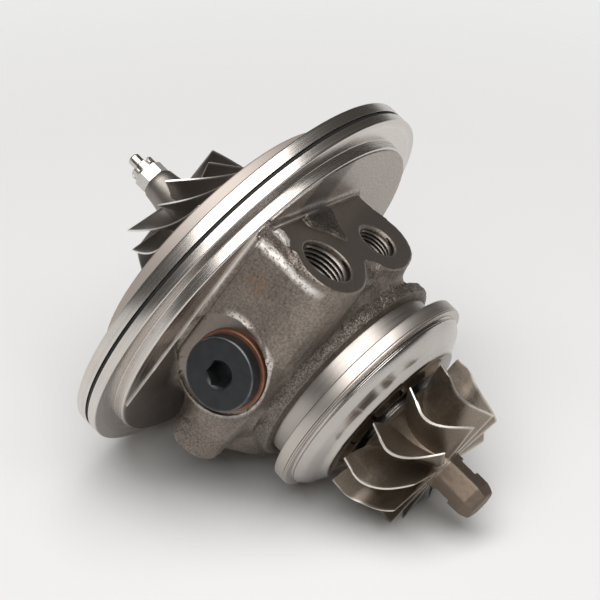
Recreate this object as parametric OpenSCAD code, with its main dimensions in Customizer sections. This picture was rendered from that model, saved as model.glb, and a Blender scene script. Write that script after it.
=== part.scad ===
// Turbo cartridge: the bearing housing with its rotor, as it is sold ready to fit.
// X runs along the shaft from the compressor to the turbine, Z is the normal of the port pad.
// The origin is on the shaft axis, in the rear face of the compressor flange.

/* [Compressor flange] */
// Outer diameter of the flange disc
flange_d = 112; // [106:0.5:118]
// Thickness of the disc at its rim
flange_t = 6.8; // [6:0.1:8]
// Distance of the seal groove's middle from the rear face
groove_back = 3.1; // [2:0.1:4]
// Width of the seal groove in the rim
groove_w = 1; // [0.8:0.05:1.4]
// Depth of the seal groove
groove_depth = 1.2; // [1:0.05:1.6]
// Diameter of the raised diffuser face on the compressor side
spigot_d = 79.6; // [72:0.2:88]
// Height of the diffuser face above the disc
spigot_h = 7.4; // [6.8:0.1:8.4]
// Diameter of the raised web on the turbine side
web_d = 98.8; // [94:0.2:102]
// Height of the raised web
web_h = 3.05; // [2.5:0.05:4]

/* [Cast body] */
// Distance of the plug side's flat face from the shaft
side_y = 37; // [36:0.1:39]
// Thickness of the step at the foot of the body
foot_h = 1.25; // [0.8:0.05:2]
// Radius of the round core at its foot
core_r = 32.5; // [30.5:0.1:33.5]
// Radius of the valley in front of the collar
valley_r = 26.4; // [25:0.1:27.5]
// Distance of the valley from the flange
valley_x = 27.4; // [26.4:0.1:28]
// Diameter of the cast collar
collar_d = 57.4; // [56:0.2:60]
// Distance of the collar's end from the flange
collar_x = 33.3; // [32.5:0.1:34]

/* [Port pad] */
// Height of the milled port pad above the shaft
pad_z = 33; // [32:0.1:35]
// Radius of the lobe round each port
lobe_r = 10.8; // [10:0.1:11.4]
// Distance of both ports from the flange
port_x = 18.2; // [17:0.1:19]
// Sideways place of the coolant port
coolant_y = 26.4; // [24:0.1:27.5]
// Thread diameter of the coolant ports
coolant_d = 14; // [12:0.5:14]
// Depth of the coolant thread
coolant_depth = 15; // [12:0.5:17]
// Thread diameter of the oil inlet
oil_d = 10; // [8:0.5:11]
// Depth of the oil inlet thread
oil_depth = 12; // [9:0.5:14]
// Diameter of the drilled oil feed
feed_d = 4; // [2:0.1:5]
// Width of the chamfer at each port mouth
port_chamfer = 0.6; // [0.2:0.05:0.8]

/* [Plug] */
// Height of the side ports' axis above the shaft
plug_z = -2; // [-3:0.1:0]
// Radius of the boss round a side port
boss_r = 11.8; // [11.2:0.1:12.4]
// Depth of the spot face below the side
spot_depth = 0.8; // [0.4:0.05:1.2]
// Head diameter of the plug
plug_head_d = 19; // [17:0.1:20]
// Head thickness of the plug
plug_head_t = 4.2; // [3.5:0.1:5]
// Width across flats of the plug's socket
plug_socket_af = 6; // [5:0.5:8]
// Depth of the plug's socket
plug_socket_depth = 5; // [4:0.1:7]
// Length of the plug's thread
plug_thread_len = 11; // [9:0.1:13]
// Thickness of the sealing washer
washer_t = 1.5; // [1:0.1:2]
// Outer diameter of the sealing washer
washer_d = 20; // [18.6:0.1:21]

/* [Oil drain] */
// Distance of the drain face below the shaft
drain_z = 33; // [32.4:0.1:35]
// Diameter of the drain opening
drain_d = 15; // [12:0.5:17]
// Spacing of the drain's two bolt holes
drain_spacing = 45; // [42:0.5:48]
// Diameter of the drain's bolt holes
drain_bolt_d = 8; // [5:0.5:8]
// Depth of the drain's bolt holes
drain_bolt_depth = 12; // [9:0.5:14]
// Radius of the lugs round the bolt holes
drain_lug_r = 7; // [6.5:0.1:8]

/* [Turbine end] */
// Diameter of the machined neck
neck_d = 52; // [48:0.2:54]
// Diameter of the turbine flange
turbine_flange_d = 61.4; // [59:0.2:64]
// Distance of the turbine flange's front face from the compressor flange
turbine_flange_x = 42.6; // [42:0.1:43.5]
// Thickness of the turbine flange
turbine_flange_t = 4; // [3:0.1:5]
// Sheet thickness of the heat shield
shield_t = 0.8; // [0.6:0.05:1]
// Depth of the heat shield's cone
shield_h = 7.6; // [7.2:0.1:8]
// Outer radius of the cone at its front edge
shield_front_r = 21.4; // [20.5:0.1:22]

/* [Bearings] */
// Journal diameter of the shaft
journal_d = 8; // [7.4:0.1:8.6]
// Outer diameter of the floating bearings
bearing_d = 13; // [12.4:0.1:13.6]
// Length of a floating bearing
bearing_len = 8; // [7:0.1:8.6]
// Radial running clearance of the floating bearings, inside and outside
bearing_gap = 0.04; // [0.02:0.005:0.06]
// Distance of the compressor bearing's front end from the flange
bearing_x = 2.6; // [2.2:0.1:3]
// Distance of the turbine bearing's front end from the flange
bearing_x2 = 23.4; // [23:0.1:24]
// Diameter of the thrust bearing
thrust_d = 33; // [30:0.2:36]
// Thickness of the thrust bearing
thrust_t = 3.5; // [3:0.1:4]
// Distance of the thrust bearing's seat in front of the flange's rear face
thrust_seat = 0.7; // [0.4:0.05:1]
// Diameter of the thrust faces on the rotor
thrust_face_d = 17; // [15:0.1:18]
// Axial play at each thrust face
thrust_gap = 0.05; // [0.02:0.005:0.1]

/* [Compressor seal] */
// Diameter of the seal plate
seal_plate_d = 40; // [38:0.2:42]
// Thickness of the seal plate
seal_plate_t = 6; // [5.4:0.1:6.2]
// Thickness of the oil deflector
deflector_t = 0.6; // [0.4:0.05:0.8]
// Diameter of the flinger's sleeve
flinger_d = 12; // [11:0.1:13]
// Radial gap between turning sleeves and their bores
seal_gap = 0.12; // [0.08:0.01:0.2]
// Thickness of the piston rings
ring_t = 1.2; // [1:0.05:1.4]

/* [Compressor wheel] */
// Diameter of the wheel at its outlet
comp_out_d = 50; // [46:0.2:50.6]
// Diameter of the wheel at its inlet
comp_in_d = 34.8; // [32:0.2:37]
// Length of the wheel from back face to nose
comp_len = 25.2; // [24:0.1:26.5]
// Number of full blades, with as many half blades
comp_blades = 6; // [5:1:7]
// Turn of a blade from inlet to outlet
comp_wrap = 62; // [45:1:70]
// Height of the blades at the outlet
comp_out_b = 4; // [3:0.1:5]

/* [Turbine wheel] */
// Diameter of the wheel at its inlet
turb_in_d = 44.6; // [43:0.2:45.6]
// Diameter of the wheel at its outlet
turb_out_d = 38; // [36:0.2:40]
// Height of the blades at the inlet
turb_in_b = 5.9; // [5:0.1:6.5]
// Length of the blades along the shaft
turb_len = 17.2; // [16:0.1:18.5]
// Number of blades
turb_blades = 11; // [9:1:12]
// Turn of the blades towards the outlet
turb_wrap = 26; // [15:1:32]
// Width across flats of the nose
nose_af = 9.6; // [8:0.1:10]
// Length of the nose
nose_len = 13; // [9:0.1:14]

/* [Lock nut] */
// Diameter of the shaft's stub under the compressor wheel
stub_d = 5; // [4.4:0.1:5.2]
// Width across flats of the nut
nut_af = 7.4; // [7:0.1:8]
// Height of the nut's hexagon
nut_h = 3.5; // [3:0.1:4.5]
// Height of the nut's slotted collar
nut_collar_h = 2.4; // [2:0.1:3]
// Length of the stub's end past the nut
stub_end = 3.2; // [2:0.1:4.5]

/* [Hidden] */
$fn = 96;

// Small clearances between pieces that stay together
fit_gap = 0.03;
seat_gap = 0.05;
// Overlap of forms that are one casting
weld = 1;

// Stations along the shaft, from the compressor to the turbine
disc_front = -flange_t;
spigot_face = disc_front - spigot_h;
recess_depth = 1.6;
wheel_recess = spigot_face + recess_depth;
wheel_gap = 0.5;
wheel_back = wheel_recess - wheel_gap;
foot_x = web_h + foot_h;
turbine_flange_back = turbine_flange_x - turbine_flange_t;
thrust_face = -thrust_seat;
thrust_front = thrust_face - thrust_t;
deflector_front = thrust_front - deflector_t;
plate_front = deflector_front - seal_plate_t;
snap_t = 1.2;
snap_front = plate_front - snap_t;
collar_flange_t = 1.5;
shaft_shoulder = thrust_face + thrust_gap + collar_flange_t;
shield_front = turbine_flange_x + shield_h;
turb_gap = 0.8;
turb_back = shield_front + turb_gap;
turb_hub_back = turb_back - turb_gap / 2;
turb_end = turb_back + turb_len;
nose_end = turb_end + nose_len;
comp_nose = wheel_back - comp_len;
nut_front = comp_nose - nut_h;
nut_collar_front = nut_front - nut_collar_h;
shaft_front = nut_collar_front - stub_end;

// Radii of the turning and bearing surfaces
journal_r = journal_d / 2;
stub_r = stub_d / 2;
bearing_r = bearing_d / 2;
bore_r = bearing_r + bearing_gap;
seal_hub_r = 8.5;
seal_bore_r = seal_hub_r + seal_gap;
flinger_r = flinger_d / 2;
plate_bore_r = flinger_r + seal_gap;
thrust_face_r = thrust_face_d / 2;
thrust_bore_r = 5.4;
spacer_r = thrust_bore_r - seal_gap;
plate_r = seal_plate_d / 2;
plate_seat_r = plate_r + fit_gap;
snap_groove_r = plate_seat_r + 1.2;
o_ring_w = 1.8;
o_ring_depth = 1.4;
wheel_recess_r = comp_out_d / 2 + 0.6;
oil_pocket_r = 10.5;
turbine_pocket_r = 12;
spot_y = side_y - spot_depth;
neck_r = neck_d / 2;
turbine_flange_r = turbine_flange_d / 2;

// Places along the shaft of the rings in their grooves
bearing_ring_t = 1;
bearing_ring_depth = 0.9;
bearing_ring_x = [bearing_x + bearing_len + 0.3, bearing_x2 - 0.3 - bearing_ring_t];
turbine_ring_x = [turbine_flange_x + 0.8, turbine_flange_x + 3.4];
flinger_ring_x = plate_front + seal_plate_t / 2 - ring_t;

// Eased step from 0 to 1, for the sweep of a cast flare
function ease(t) = (1 - cos(180 * t)) / 2;

// Point on a cubic curve through four control points
function curve(p, t) =
  pow(1 - t, 3) * p[0] + 3 * t * pow(1 - t, 2) * p[1] + 3 * t * t * (1 - t) * p[2] + pow(t, 3) * p[3];

// Turned solid about the shaft axis, from points [place along the shaft, radius]
module turned(profile) {
  rotate([0, 90, 0])
    rotate_extrude()
      polygon([for (p = profile) [p[1], p[0]]]);
}

// Turned ring between two stations and two radii
module ring(x0, x1, r0, r1) {
  turned([[x0, r0], [x1, r0], [x1, r1], [x0, r1]]);
}

// Round bar or hole along the shaft
module bar(x0, x1, r) {
  translate([x0, 0, 0])
    rotate([0, 90, 0])
      cylinder(h = x1 - x0, r = r);
}

// Outline in the cross plane (sideways, height), drawn out along the shaft
module across(x0, x1) {
  translate([x0, 0, 0])
    rotate([90, 0, 90])
      linear_extrude(height = x1 - x0)
        children();
}

// Rectangle with round corners
module round_rectangle(y0, y1, z0, z1, r) {
  translate([y0 + r, z0])
    square([y1 - y0 - 2 * r, z1 - z0]);
  translate([y0, z0 + r])
    square([y1 - y0, z1 - z0 - 2 * r]);
  for (y = [y0 + r, y1 - r])
    for (z = [z0 + r, z1 - r])
      translate([y, z])
        circle(r = r);
}

// Snap ring with a gap at the bottom
module snap_ring(x0, t, r0, r1, gap) {
  difference() {
    ring(x0, x0 + t, r0, r1);
    translate([x0 - 1, -gap / 2, -r1 - 1])
      cube([t + 2, gap, r1]);
  }
}

// Tapped hole from its mouth inwards along -Z, with a countersunk mouth
module port(d, depth) {
  translate([0, 0, -depth])
    cylinder(h = depth + 1, d = d);
  translate([0, 0, -port_chamfer])
    cylinder(h = port_chamfer * 2, d1 = d, d2 = d + 4 * port_chamfer);
}

// Closed skin over rings of points, each ring the outline of a blade at one station
module loft(rings) {
  n = len(rings[0]);
  last = len(rings) - 1;
  half = n / 2;
  points = [for (r = rings) for (p = r) p];
  sides = [
    for (i = [0 : last - 1])
      for (j = [0 : n - 1])
        for (side = [0, 1])
          let (a = i * n + j, b = i * n + (j + 1) % n, c = b + n, e = a + n)
            side == 0 ? [a, c, b] : [a, e, c]
  ];
  first_cap = [
    for (j = [0 : half - 2])
      for (side = [0, 1])
        side == 0 ? [j, j + 1, n - 2 - j] : [j, n - 2 - j, n - 1 - j]
  ];
  last_cap = [
    for (j = [0 : half - 2])
      for (side = [0, 1])
        let (k = last * n)
          side == 0 ? [k + j, k + n - 2 - j, k + j + 1] : [k + j, k + n - 1 - j, k + n - 2 - j]
  ];
  polyhedron(points = points, faces = concat(sides, first_cap, last_cap));
}

// Point at a place along the shaft, a radius and an angle about the shaft
function polar(x, r, a) = [x, r * cos(a), r * sin(a)];

// Outline of a blade at one station: up one flank from hub to tip and down the other.
// hub and tip are [place, radius], turn gives the blade's angle at a place along the shaft,
// t holds the thickness at the shaft and at the radius wide, where the blade is thinnest.
function blade_ring(hub, tip, turn, t, wide, steps) =
  [
    for (side = [-1, 1])
      for (k = [0 : steps])
        let (v = side < 0 ? k / steps : 1 - k / steps)
        let (p = hub + (tip - hub) * v)
        let (half = (t[0] + (t[1] - t[0]) * min(1, p[1] / wide)) / 2)
          polar(p[0], p[1], turn(p[0]) + side * half / p[1] * 180 / PI)
  ];

// Pad of one port: the lobe, and the milled way back to the foot of the body
module port_pad_outline() {
  oil_half = lobe_r + 1.2;
  polygon([
    [web_h, -side_y + 3], [port_x - 6, -coolant_y - lobe_r + 1.6], [port_x, -coolant_y - lobe_r],
    [port_x, -coolant_y], [port_x + 1.5, -coolant_y / 2], [port_x, 0],
    [port_x, lobe_r], [port_x - 4, oil_half], [foot_x + 4, oil_half], [web_h, oil_half - 1.6]
  ]);
}

// Round core of the casting, drawn in to the valley and out again to the collar
module core_form() {
  steps = 9;
  collar_r = collar_d / 2;
  collar_round = 1.2;
  turned(concat(
    [[web_h - weld, 0], [web_h - weld, core_r]],
    [
      for (i = [0 : steps])
        [foot_x + (valley_x - foot_x) * i / steps, core_r + (valley_r - core_r) * ease(i / steps)]
    ],
    [
      [valley_x + 1.4, valley_r + 0.5], [valley_x + 2.6, collar_r - 0.5], [valley_x + 3.4, collar_r],
      [collar_x - collar_round, collar_r], [collar_x, collar_r - collar_round], [collar_x, 0]
    ]
  ));
}

// Envelope of the casting, drawn in round the collar
module flare_envelope() {
  steps = 10;
  flat_end = 15;
  wide_r = side_y + 12;
  turned(concat(
    [[web_h - weld, 0], [web_h - weld, wide_r]],
    [
      for (i = [0 : steps])
        [flat_end + (valley_x - flat_end) * i / steps, wide_r + (valley_r - wide_r) * ease(i / steps)]
    ],
    [[valley_x, 0]]
  ));
}

// Plug side of the casting: a flat side with a sloped shoulder up to the pad
module side_form() {
  bottom = -14;
  shoulder = 3.8;
  slope = 5.5;
  corner_r = 9;
  intersection() {
    union() {
      across(web_h - weld, valley_x)
        round_rectangle(-side_y, side_y - 2 * lobe_r, bottom, pad_z - shoulder, corner_r);
      across(web_h - weld, port_x)
        polygon([
          [-side_y, plug_z], [-side_y, pad_z - shoulder - 2], [-side_y + 0.6, pad_z - shoulder],
          [-side_y + slope, pad_z], [0, pad_z], [0, plug_z]
        ]);
    }
    flare_envelope();
  }
}

// Parting ridge of the casting, along the side under the pad
module side_ridge() {
  ridge_r = 1.1;
  ridge_x = [foot_x + 1, port_x + 4];
  translate([0, -side_y + 0.8, pad_z - 3.9]) {
    bar(ridge_x[0], ridge_x[1], ridge_r);
    for (x = ridge_x)
      translate([x, 0, 0])
        sphere(r = ridge_r, $fn = 32);
  }
}

// Round towers that carry the two ports up to the pad
module port_towers() {
  translate([port_x, -coolant_y, plug_z])
    cylinder(h = pad_z - plug_z, r = lobe_r);
  translate([port_x, 0, 0])
    cylinder(h = pad_z, r = lobe_r);
  translate([port_x + 2.5, -coolant_y / 2, 0])
    cylinder(h = pad_z - 1.4, r = lobe_r / 2 + 1.2);
}

// Step at the foot of the body, with the cast ridge above the milled pad
module foot_form() {
  step_out = 0.4;
  corner_r = 4;
  step_bottom = -31;
  step_top = pad_z - 5;
  ridge_in = 3;
  ridge_h = 2.4;
  across(web_h - weld, foot_x) {
    round_rectangle(-side_y - step_out, 0, step_bottom, step_top, corner_r);
    translate([-side_y + ridge_in, 0])
      square([side_y + lobe_r - ridge_in, pad_z + ridge_h]);
  }
}

// Rough lumps left standing between and beside the milled pads
module pad_lumps() {
  // Place along the shaft, sideways place, height of the centre over the pad, radius
  lumps = [
    [foot_x, -coolant_y / 2, -6.4, 8],
    [foot_x + 4.6, -coolant_y / 2 + 1, -5.8, 7],
    [foot_x + 1, -side_y + 6.4, -4.8, 5.8]
  ];
  for (lump = lumps)
    translate([lump[0], lump[1], pad_z + lump[2]])
      sphere(r = lump[3]);
}

// Drain flange under the body, with a lug at each bolt hole
module drain_form() {
  drain_wall = 4.5;
  lug_h = 16;
  translate([port_x, 0, -drain_z]) {
    cylinder(h = drain_z - 6, r = drain_d / 2 + drain_wall);
    linear_extrude(height = lug_h) {
      for (side = [-1, 1])
        translate([0, side * drain_spacing / 2])
          circle(r = drain_lug_r);
      square([2 * drain_lug_r - 3, drain_spacing], center = true);
    }
  }
}

// Flange disc, neck and turbine flange, all turned on the casting
module turned_form() {
  rim = flange_d / 2;
  edge = 0.5;
  nose_front = shield_front - shield_t - 1;
  nose_r = shield_front_r - 5;
  turned([
    [spigot_face, 0], [spigot_face, spigot_d / 2 - edge], [spigot_face + edge, spigot_d / 2],
    [disc_front, spigot_d / 2], [disc_front, rim - edge], [disc_front + edge, rim],
    [0, rim], [0, web_d / 2],
    [web_h - edge, web_d / 2], [web_h, web_d / 2 - edge], [web_h, 0]
  ]);
  turned([
    [collar_x - weld, 0], [collar_x - weld, neck_r], [turbine_flange_back, neck_r],
    [turbine_flange_back, turbine_flange_r - edge], [turbine_flange_back + edge, turbine_flange_r],
    [turbine_flange_x - edge, turbine_flange_r], [turbine_flange_x, turbine_flange_r - edge],
    [turbine_flange_x, nose_r + 6], [nose_front, nose_r], [nose_front, 0]
  ]);
}

// Bores of the shaft line, from the compressor side to the turbine side
module shaft_line() {
  mid = [bearing_ring_x[0] + bearing_ring_t + 0.8, bearing_ring_x[1] - 0.8];
  bar(spigot_face - 1, wheel_recess, wheel_recess_r);
  bar(wheel_recess - 1, deflector_front, plate_seat_r);
  bar(snap_front - seat_gap, plate_front + seat_gap, snap_groove_r);
  bar(deflector_front - 1, thrust_face, thrust_d / 2 + fit_gap);
  bar(deflector_front - seat_gap, thrust_front, plate_seat_r);
  bar(thrust_face - 1, shaft_shoulder + 0.6, oil_pocket_r);
  bar(shaft_shoulder, bearing_x2 + bearing_len + 2, bore_r);
  bar(mid[0], mid[1], oil_pocket_r);
  bar(bearing_x2 + bearing_len + 1, turbine_flange_back, turbine_pocket_r);
  bar(turbine_flange_back - 1, nose_end, seal_bore_r);
  for (x = bearing_ring_x)
    bar(x - seat_gap, x + bearing_ring_t + seat_gap, bore_r + bearing_ring_depth);
}

// Ways of the oil: the feed to both bearings, and the drain under the shaft
module oil_ways() {
  slot_w = 10;
  slot_top = -6;
  slot_bottom = -18;
  feed_x = [bearing_x + bearing_len / 2, bearing_x2 + bearing_len / 2];
  gallery_z = pad_z - oil_depth - feed_d / 2;
  translate([port_x, 0, pad_z])
    port(oil_d, oil_depth);
  translate([0, 0, gallery_z])
    bar(feed_x[0] - feed_d / 2, feed_x[1] + feed_d / 2, feed_d / 2);
  translate([port_x, 0, gallery_z])
    cylinder(h = oil_depth, d = feed_d);
  for (x = feed_x)
    translate([x, 0, 0])
      cylinder(h = gallery_z, d = feed_d);
  translate([port_x, 0, -drain_z - 1])
    cylinder(h = drain_z + slot_bottom + 1, d = drain_d);
  translate([thrust_face - 1, -slot_w / 2, slot_bottom])
    cube([turbine_flange_back - thrust_face, slot_w, slot_top - slot_bottom]);
  for (side = [-1, 1])
    translate([port_x, side * drain_spacing / 2, -drain_z - 1])
      cylinder(h = drain_bolt_depth + 1, d = drain_bolt_d);
}

// Ways of the coolant: the pad port, the plugged side port and the open port opposite
module coolant_ways() {
  gallery_d = 8;
  translate([port_x, -coolant_y, pad_z])
    port(coolant_d, coolant_depth);
  translate([port_x, -coolant_y, plug_z])
    cylinder(h = pad_z - plug_z, d = gallery_d);
  for (side = [-1, 1])
    translate([port_x, side * spot_y, plug_z])
      rotate([-side * 90, 0, 0])
        port(coolant_d, coolant_depth);
  translate([port_x, -side_y - 5, plug_z])
    rotate([-90, 0, 0])
      cylinder(h = spot_depth + 5, r = boss_r);
}

// Bosses of the two side ports
module side_bosses() {
  translate([port_x, -spot_y, plug_z])
    rotate([-90, 0, 0])
      cylinder(h = 2 * spot_y, r = boss_r);
}

module bearing_housing() {
  groove_r = flange_d / 2 - groove_depth;
  pad_t = 8;
  color("#6b655f")
    difference() {
      union() {
        turned_form();
        core_form();
        side_form();
        side_ridge();
        foot_form();
        side_bosses();
        drain_form();
        port_towers();
        translate([0, 0, pad_z - pad_t])
          linear_extrude(height = pad_t)
            port_pad_outline();
        pad_lumps();
      }
      ring(-groove_back - groove_w / 2, -groove_back + groove_w / 2, groove_r, flange_d);
      shaft_line();
      oil_ways();
      coolant_ways();
    }
}

module flange_seal_ring() {
  cord_r = groove_w / 2 - fit_gap;
  color("#1c1b1a")
    rotate([0, 90, 0])
      rotate_extrude()
        translate([flange_d / 2 - groove_depth + cord_r + fit_gap, -groove_back])
          circle(r = cord_r, $fn = 24);
}

module port_plug() {
  chamfer = 0.6;
  color("#2d2f2f")
    translate([port_x, -spot_y - washer_t, plug_z])
      rotate([90, 0, 0])
        difference() {
          union() {
            cylinder(h = plug_head_t - chamfer, d = plug_head_d);
            translate([0, 0, plug_head_t - chamfer])
              cylinder(h = chamfer, d1 = plug_head_d, d2 = plug_head_d - 2 * chamfer);
            translate([0, 0, -plug_thread_len])
              cylinder(h = plug_thread_len + 1, r = coolant_d / 2 - seat_gap);
          }
          translate([0, 0, plug_head_t - plug_socket_depth])
            cylinder(h = plug_socket_depth + 1, d = plug_socket_af / cos(30), $fn = 6);
        }
}

module plug_washer() {
  color("#965f41")
    translate([port_x, -spot_y - washer_t, plug_z])
      rotate([-90, 0, 0])
        difference() {
          cylinder(h = washer_t, d = washer_d);
          translate([0, 0, -1])
            cylinder(h = washer_t + 2, r = coolant_d / 2 + fit_gap);
        }
}

module heat_shield() {
  base = turbine_flange_x;
  rim_r = turbine_flange_r - 1;
  hole_r = seal_hub_r + 1.5;
  slant = shield_t * 1.2;
  color("#b4aea8")
    turned([
      [base, rim_r], [base + shield_t, rim_r], [base + shield_t, rim_r - 0.6],
      [shield_front - 0.6, shield_front_r], [shield_front, shield_front_r - 0.8],
      [shield_front, hole_r], [shield_front - shield_t, hole_r],
      [shield_front - shield_t, shield_front_r - 0.8 - slant], [base, rim_r - 0.6 - slant]
    ]);
}

module seal_plate() {
  ring_mid = plate_front + seal_plate_t / 2;
  pocket = 1.9;
  nose_front = wheel_recess + 0.3;
  color("#8d8882")
    difference() {
      union() {
        bar(plate_front, deflector_front, plate_r);
        bar(nose_front, plate_front + weld, plate_bore_r + 3.4);
      }
      bar(nose_front - 1, deflector_front + 1, plate_bore_r);
      bar(deflector_front - pocket, deflector_front + 1, thrust_face_r + 1.5);
      ring(ring_mid - o_ring_w / 2, ring_mid + o_ring_w / 2, plate_r - o_ring_depth, plate_r + 1);
    }
}

module seal_plate_o_ring() {
  cord_r = o_ring_depth / 2 - fit_gap;
  color("#1f1d1c")
    rotate([0, 90, 0])
      rotate_extrude()
        translate([plate_r - o_ring_depth / 2, plate_front + seal_plate_t / 2])
          circle(r = cord_r, $fn = 24);
}

module seal_plate_snap_ring() {
  color("#55524e")
    snap_ring(snap_front, snap_t, plate_r - 2.6, snap_groove_r - fit_gap, 8);
}

module oil_deflector() {
  color("#9a958e")
    ring(deflector_front, thrust_front, thrust_face_r + 1, plate_r);
}

module thrust_bearing() {
  pads = 4;
  way_w = 2;
  way_depth = 0.5;
  color("#b08d57")
    difference() {
      ring(thrust_front, thrust_face, thrust_bore_r, thrust_d / 2);
      for (i = [0 : pads - 1])
        rotate([i * 360 / pads, 0, 0])
          for (x = [thrust_front - 1, thrust_face - way_depth])
            translate([x, thrust_bore_r - 1, -way_w / 2])
              cube([way_depth + 1, thrust_face_r - thrust_bore_r, way_w]);
    }
}

module bearing_snap_rings() {
  color("#55524e")
    for (x = bearing_ring_x)
      snap_ring(x, bearing_ring_t, bearing_r - 1.2, bore_r + bearing_ring_depth - fit_gap, 3);
}

module compressor_piston_ring() {
  color("#5d5a56")
    snap_ring(flinger_ring_x, ring_t, flinger_r - 0.9, plate_bore_r - fit_gap, 0.6);
}

module turbine_piston_rings() {
  color("#5d5a56")
    for (x = turbine_ring_x)
      snap_ring(x, ring_t, seal_hub_r - 1.2, seal_bore_r - fit_gap, 0.6);
}

// Floating bearing with four oil holes round its middle
module journal_bearing(x0) {
  holes = 4;
  hole_d = 2;
  chamfer = 0.4;
  r0 = journal_r + bearing_gap;
  color("#b5924f")
    difference() {
      turned([
        [x0, r0 + chamfer], [x0 + chamfer, r0], [x0 + bearing_len - chamfer, r0],
        [x0 + bearing_len, r0 + chamfer], [x0 + bearing_len, bearing_r - chamfer],
        [x0 + bearing_len - chamfer, bearing_r], [x0 + chamfer, bearing_r], [x0, bearing_r - chamfer]
      ]);
      for (i = [0 : holes - 1])
        translate([x0 + bearing_len / 2, 0, 0])
          rotate([i * 360 / holes, 0, 0])
            cylinder(h = bearing_d, d = hole_d);
    }
}

module compressor_journal_bearing() {
  journal_bearing(bearing_x);
}

module turbine_journal_bearing() {
  journal_bearing(bearing_x2);
}

module rotor_shaft() {
  waist_r = journal_r - 0.3;
  journal_end = bearing_x2 + bearing_len + 1.5;
  hub_back = turbine_flange_back + 0.4;
  tip_r = stub_r - 0.8;
  color("#8a8680")
    difference() {
      turned([
        [shaft_front, 0], [shaft_front, tip_r - 0.4], [shaft_front + 0.4, tip_r],
        [nut_collar_front - 0.2, tip_r], [nut_collar_front + 0.4, stub_r],
        [shaft_shoulder, stub_r], [shaft_shoulder, journal_r - 0.3], [shaft_shoulder + 0.3, journal_r],
        [bearing_x + bearing_len + 1, journal_r], [bearing_x + bearing_len + 2, waist_r],
        [bearing_x2 - 2, waist_r], [bearing_x2 - 1, journal_r], [journal_end, journal_r],
        [journal_end + 1.5, journal_r + 1], [hub_back - 0.5, seal_hub_r - 0.5], [hub_back, seal_hub_r],
        [turb_hub_back, seal_hub_r], [turb_hub_back, 0]
      ]);
      for (x = turbine_ring_x)
        ring(x - seat_gap, x + ring_t + seat_gap, seal_hub_r - 1.5, seal_hub_r + 1);
    }
}

// Turbine blades: straight out from the shaft at every station, bent back towards the outlet
module turbine_blades() {
  stations = 12;
  rows = 3;
  in_r = turb_in_d / 2;
  out_r = turb_out_d / 2;
  lean = 6;
  root_in = 4.2;
  bend_x = turb_back + turb_in_b;
  root_line = [
    [turb_back, in_r], [turb_back, 9], [turb_back + 5, root_in], [turb_end - 0.4, root_in]
  ];
  tip_line = [
    [bend_x, in_r], [bend_x + 1.1, out_r + 1], [bend_x + 4.1, out_r + 1.2], [turb_end, out_r]
  ];
  function blade_angle(x) =
    x < bend_x
      ? lean * (x - turb_back) / turb_in_b
      : lean - turb_wrap * pow((x - bend_x) / (turb_end - bend_x), 1.6);
  first_angle = 161.5;
  turn = function (x) blade_angle(x);
  rings = [
    for (i = [0 : stations])
      blade_ring(curve(root_line, i / stations), curve(tip_line, i / stations), turn, [2.8, 1], out_r, rows)
  ];
  for (i = [0 : turb_blades - 1])
    rotate([first_angle + i * 360 / turb_blades, 0, 0])
      loft(rings);
}

module turbine_wheel() {
  steps = 8;
  disc_r = 13.6;
  disc_t = 1.4;
  nose_r = nose_af / 2 / cos(30);
  // The hexagon has two corners level with the shaft, and its end is drawn in by a long chamfer
  nose_turn = 30;
  nose_chamfer = 3;
  nose_end_r = nose_r - 1.2;
  // Two balancing notches ground into opposite corners of the nose
  notch_x = turb_end + 1.6;
  notch_w = 4.8;
  notch_r = 3;
  notch_depth = 1.1;
  notch_angle = 60;
  hub_line = [
    [turb_back + disc_t, disc_r], [turb_back + 3.4, 8.6], [turb_back + 9, nose_r + 0.6], [turb_end, nose_r]
  ];
  color("#5a4b3e") {
    turned(concat(
      [[turb_hub_back, 0], [turb_hub_back, seal_hub_r], [turb_back + 0.2, disc_r - 0.6]],
      [for (i = [0 : steps]) curve(hub_line, i / steps)],
      [[turb_end, 0]]
    ));
    turbine_blades();
    difference() {
      rotate([nose_turn, 0, 0]) {
        translate([turb_end - 0.5, 0, 0])
          rotate([0, 90, 0])
            cylinder(h = nose_len - nose_chamfer + 0.5, r = nose_r, $fn = 6);
        translate([nose_end - nose_chamfer, 0, 0])
          rotate([0, 90, 0])
            cylinder(h = nose_chamfer, r1 = nose_r, r2 = nose_end_r, $fn = 6);
      }
      for (turn = [0, 180])
        rotate([notch_angle + turn, 0, 0])
          translate([notch_x, nose_r + notch_r - notch_depth, 0])
            rotate([0, 90, 0])
              cylinder(h = notch_w, r = notch_r);
    }
  }
}

module thrust_collar() {
  spacer_front = thrust_front - thrust_gap;
  flange_front = thrust_face + thrust_gap;
  color("#77736d")
    difference() {
      union() {
        bar(spacer_front, flange_front + 0.5, spacer_r);
        bar(flange_front, shaft_shoulder, thrust_face_r);
      }
      bar(spacer_front - 1, shaft_shoulder + 1, stub_r + fit_gap);
    }
}

module oil_flinger() {
  flange_t_flinger = 1.5;
  back = thrust_front - thrust_gap;
  color("#77736d")
    difference() {
      union() {
        bar(back - flange_t_flinger, back, thrust_face_r);
        bar(wheel_back, back, flinger_r);
      }
      bar(wheel_back - 1, back + 1, stub_r + fit_gap);
      ring(flinger_ring_x - seat_gap, flinger_ring_x + ring_t + seat_gap, flinger_r - 1.2, flinger_r + 1);
    }
}

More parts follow.
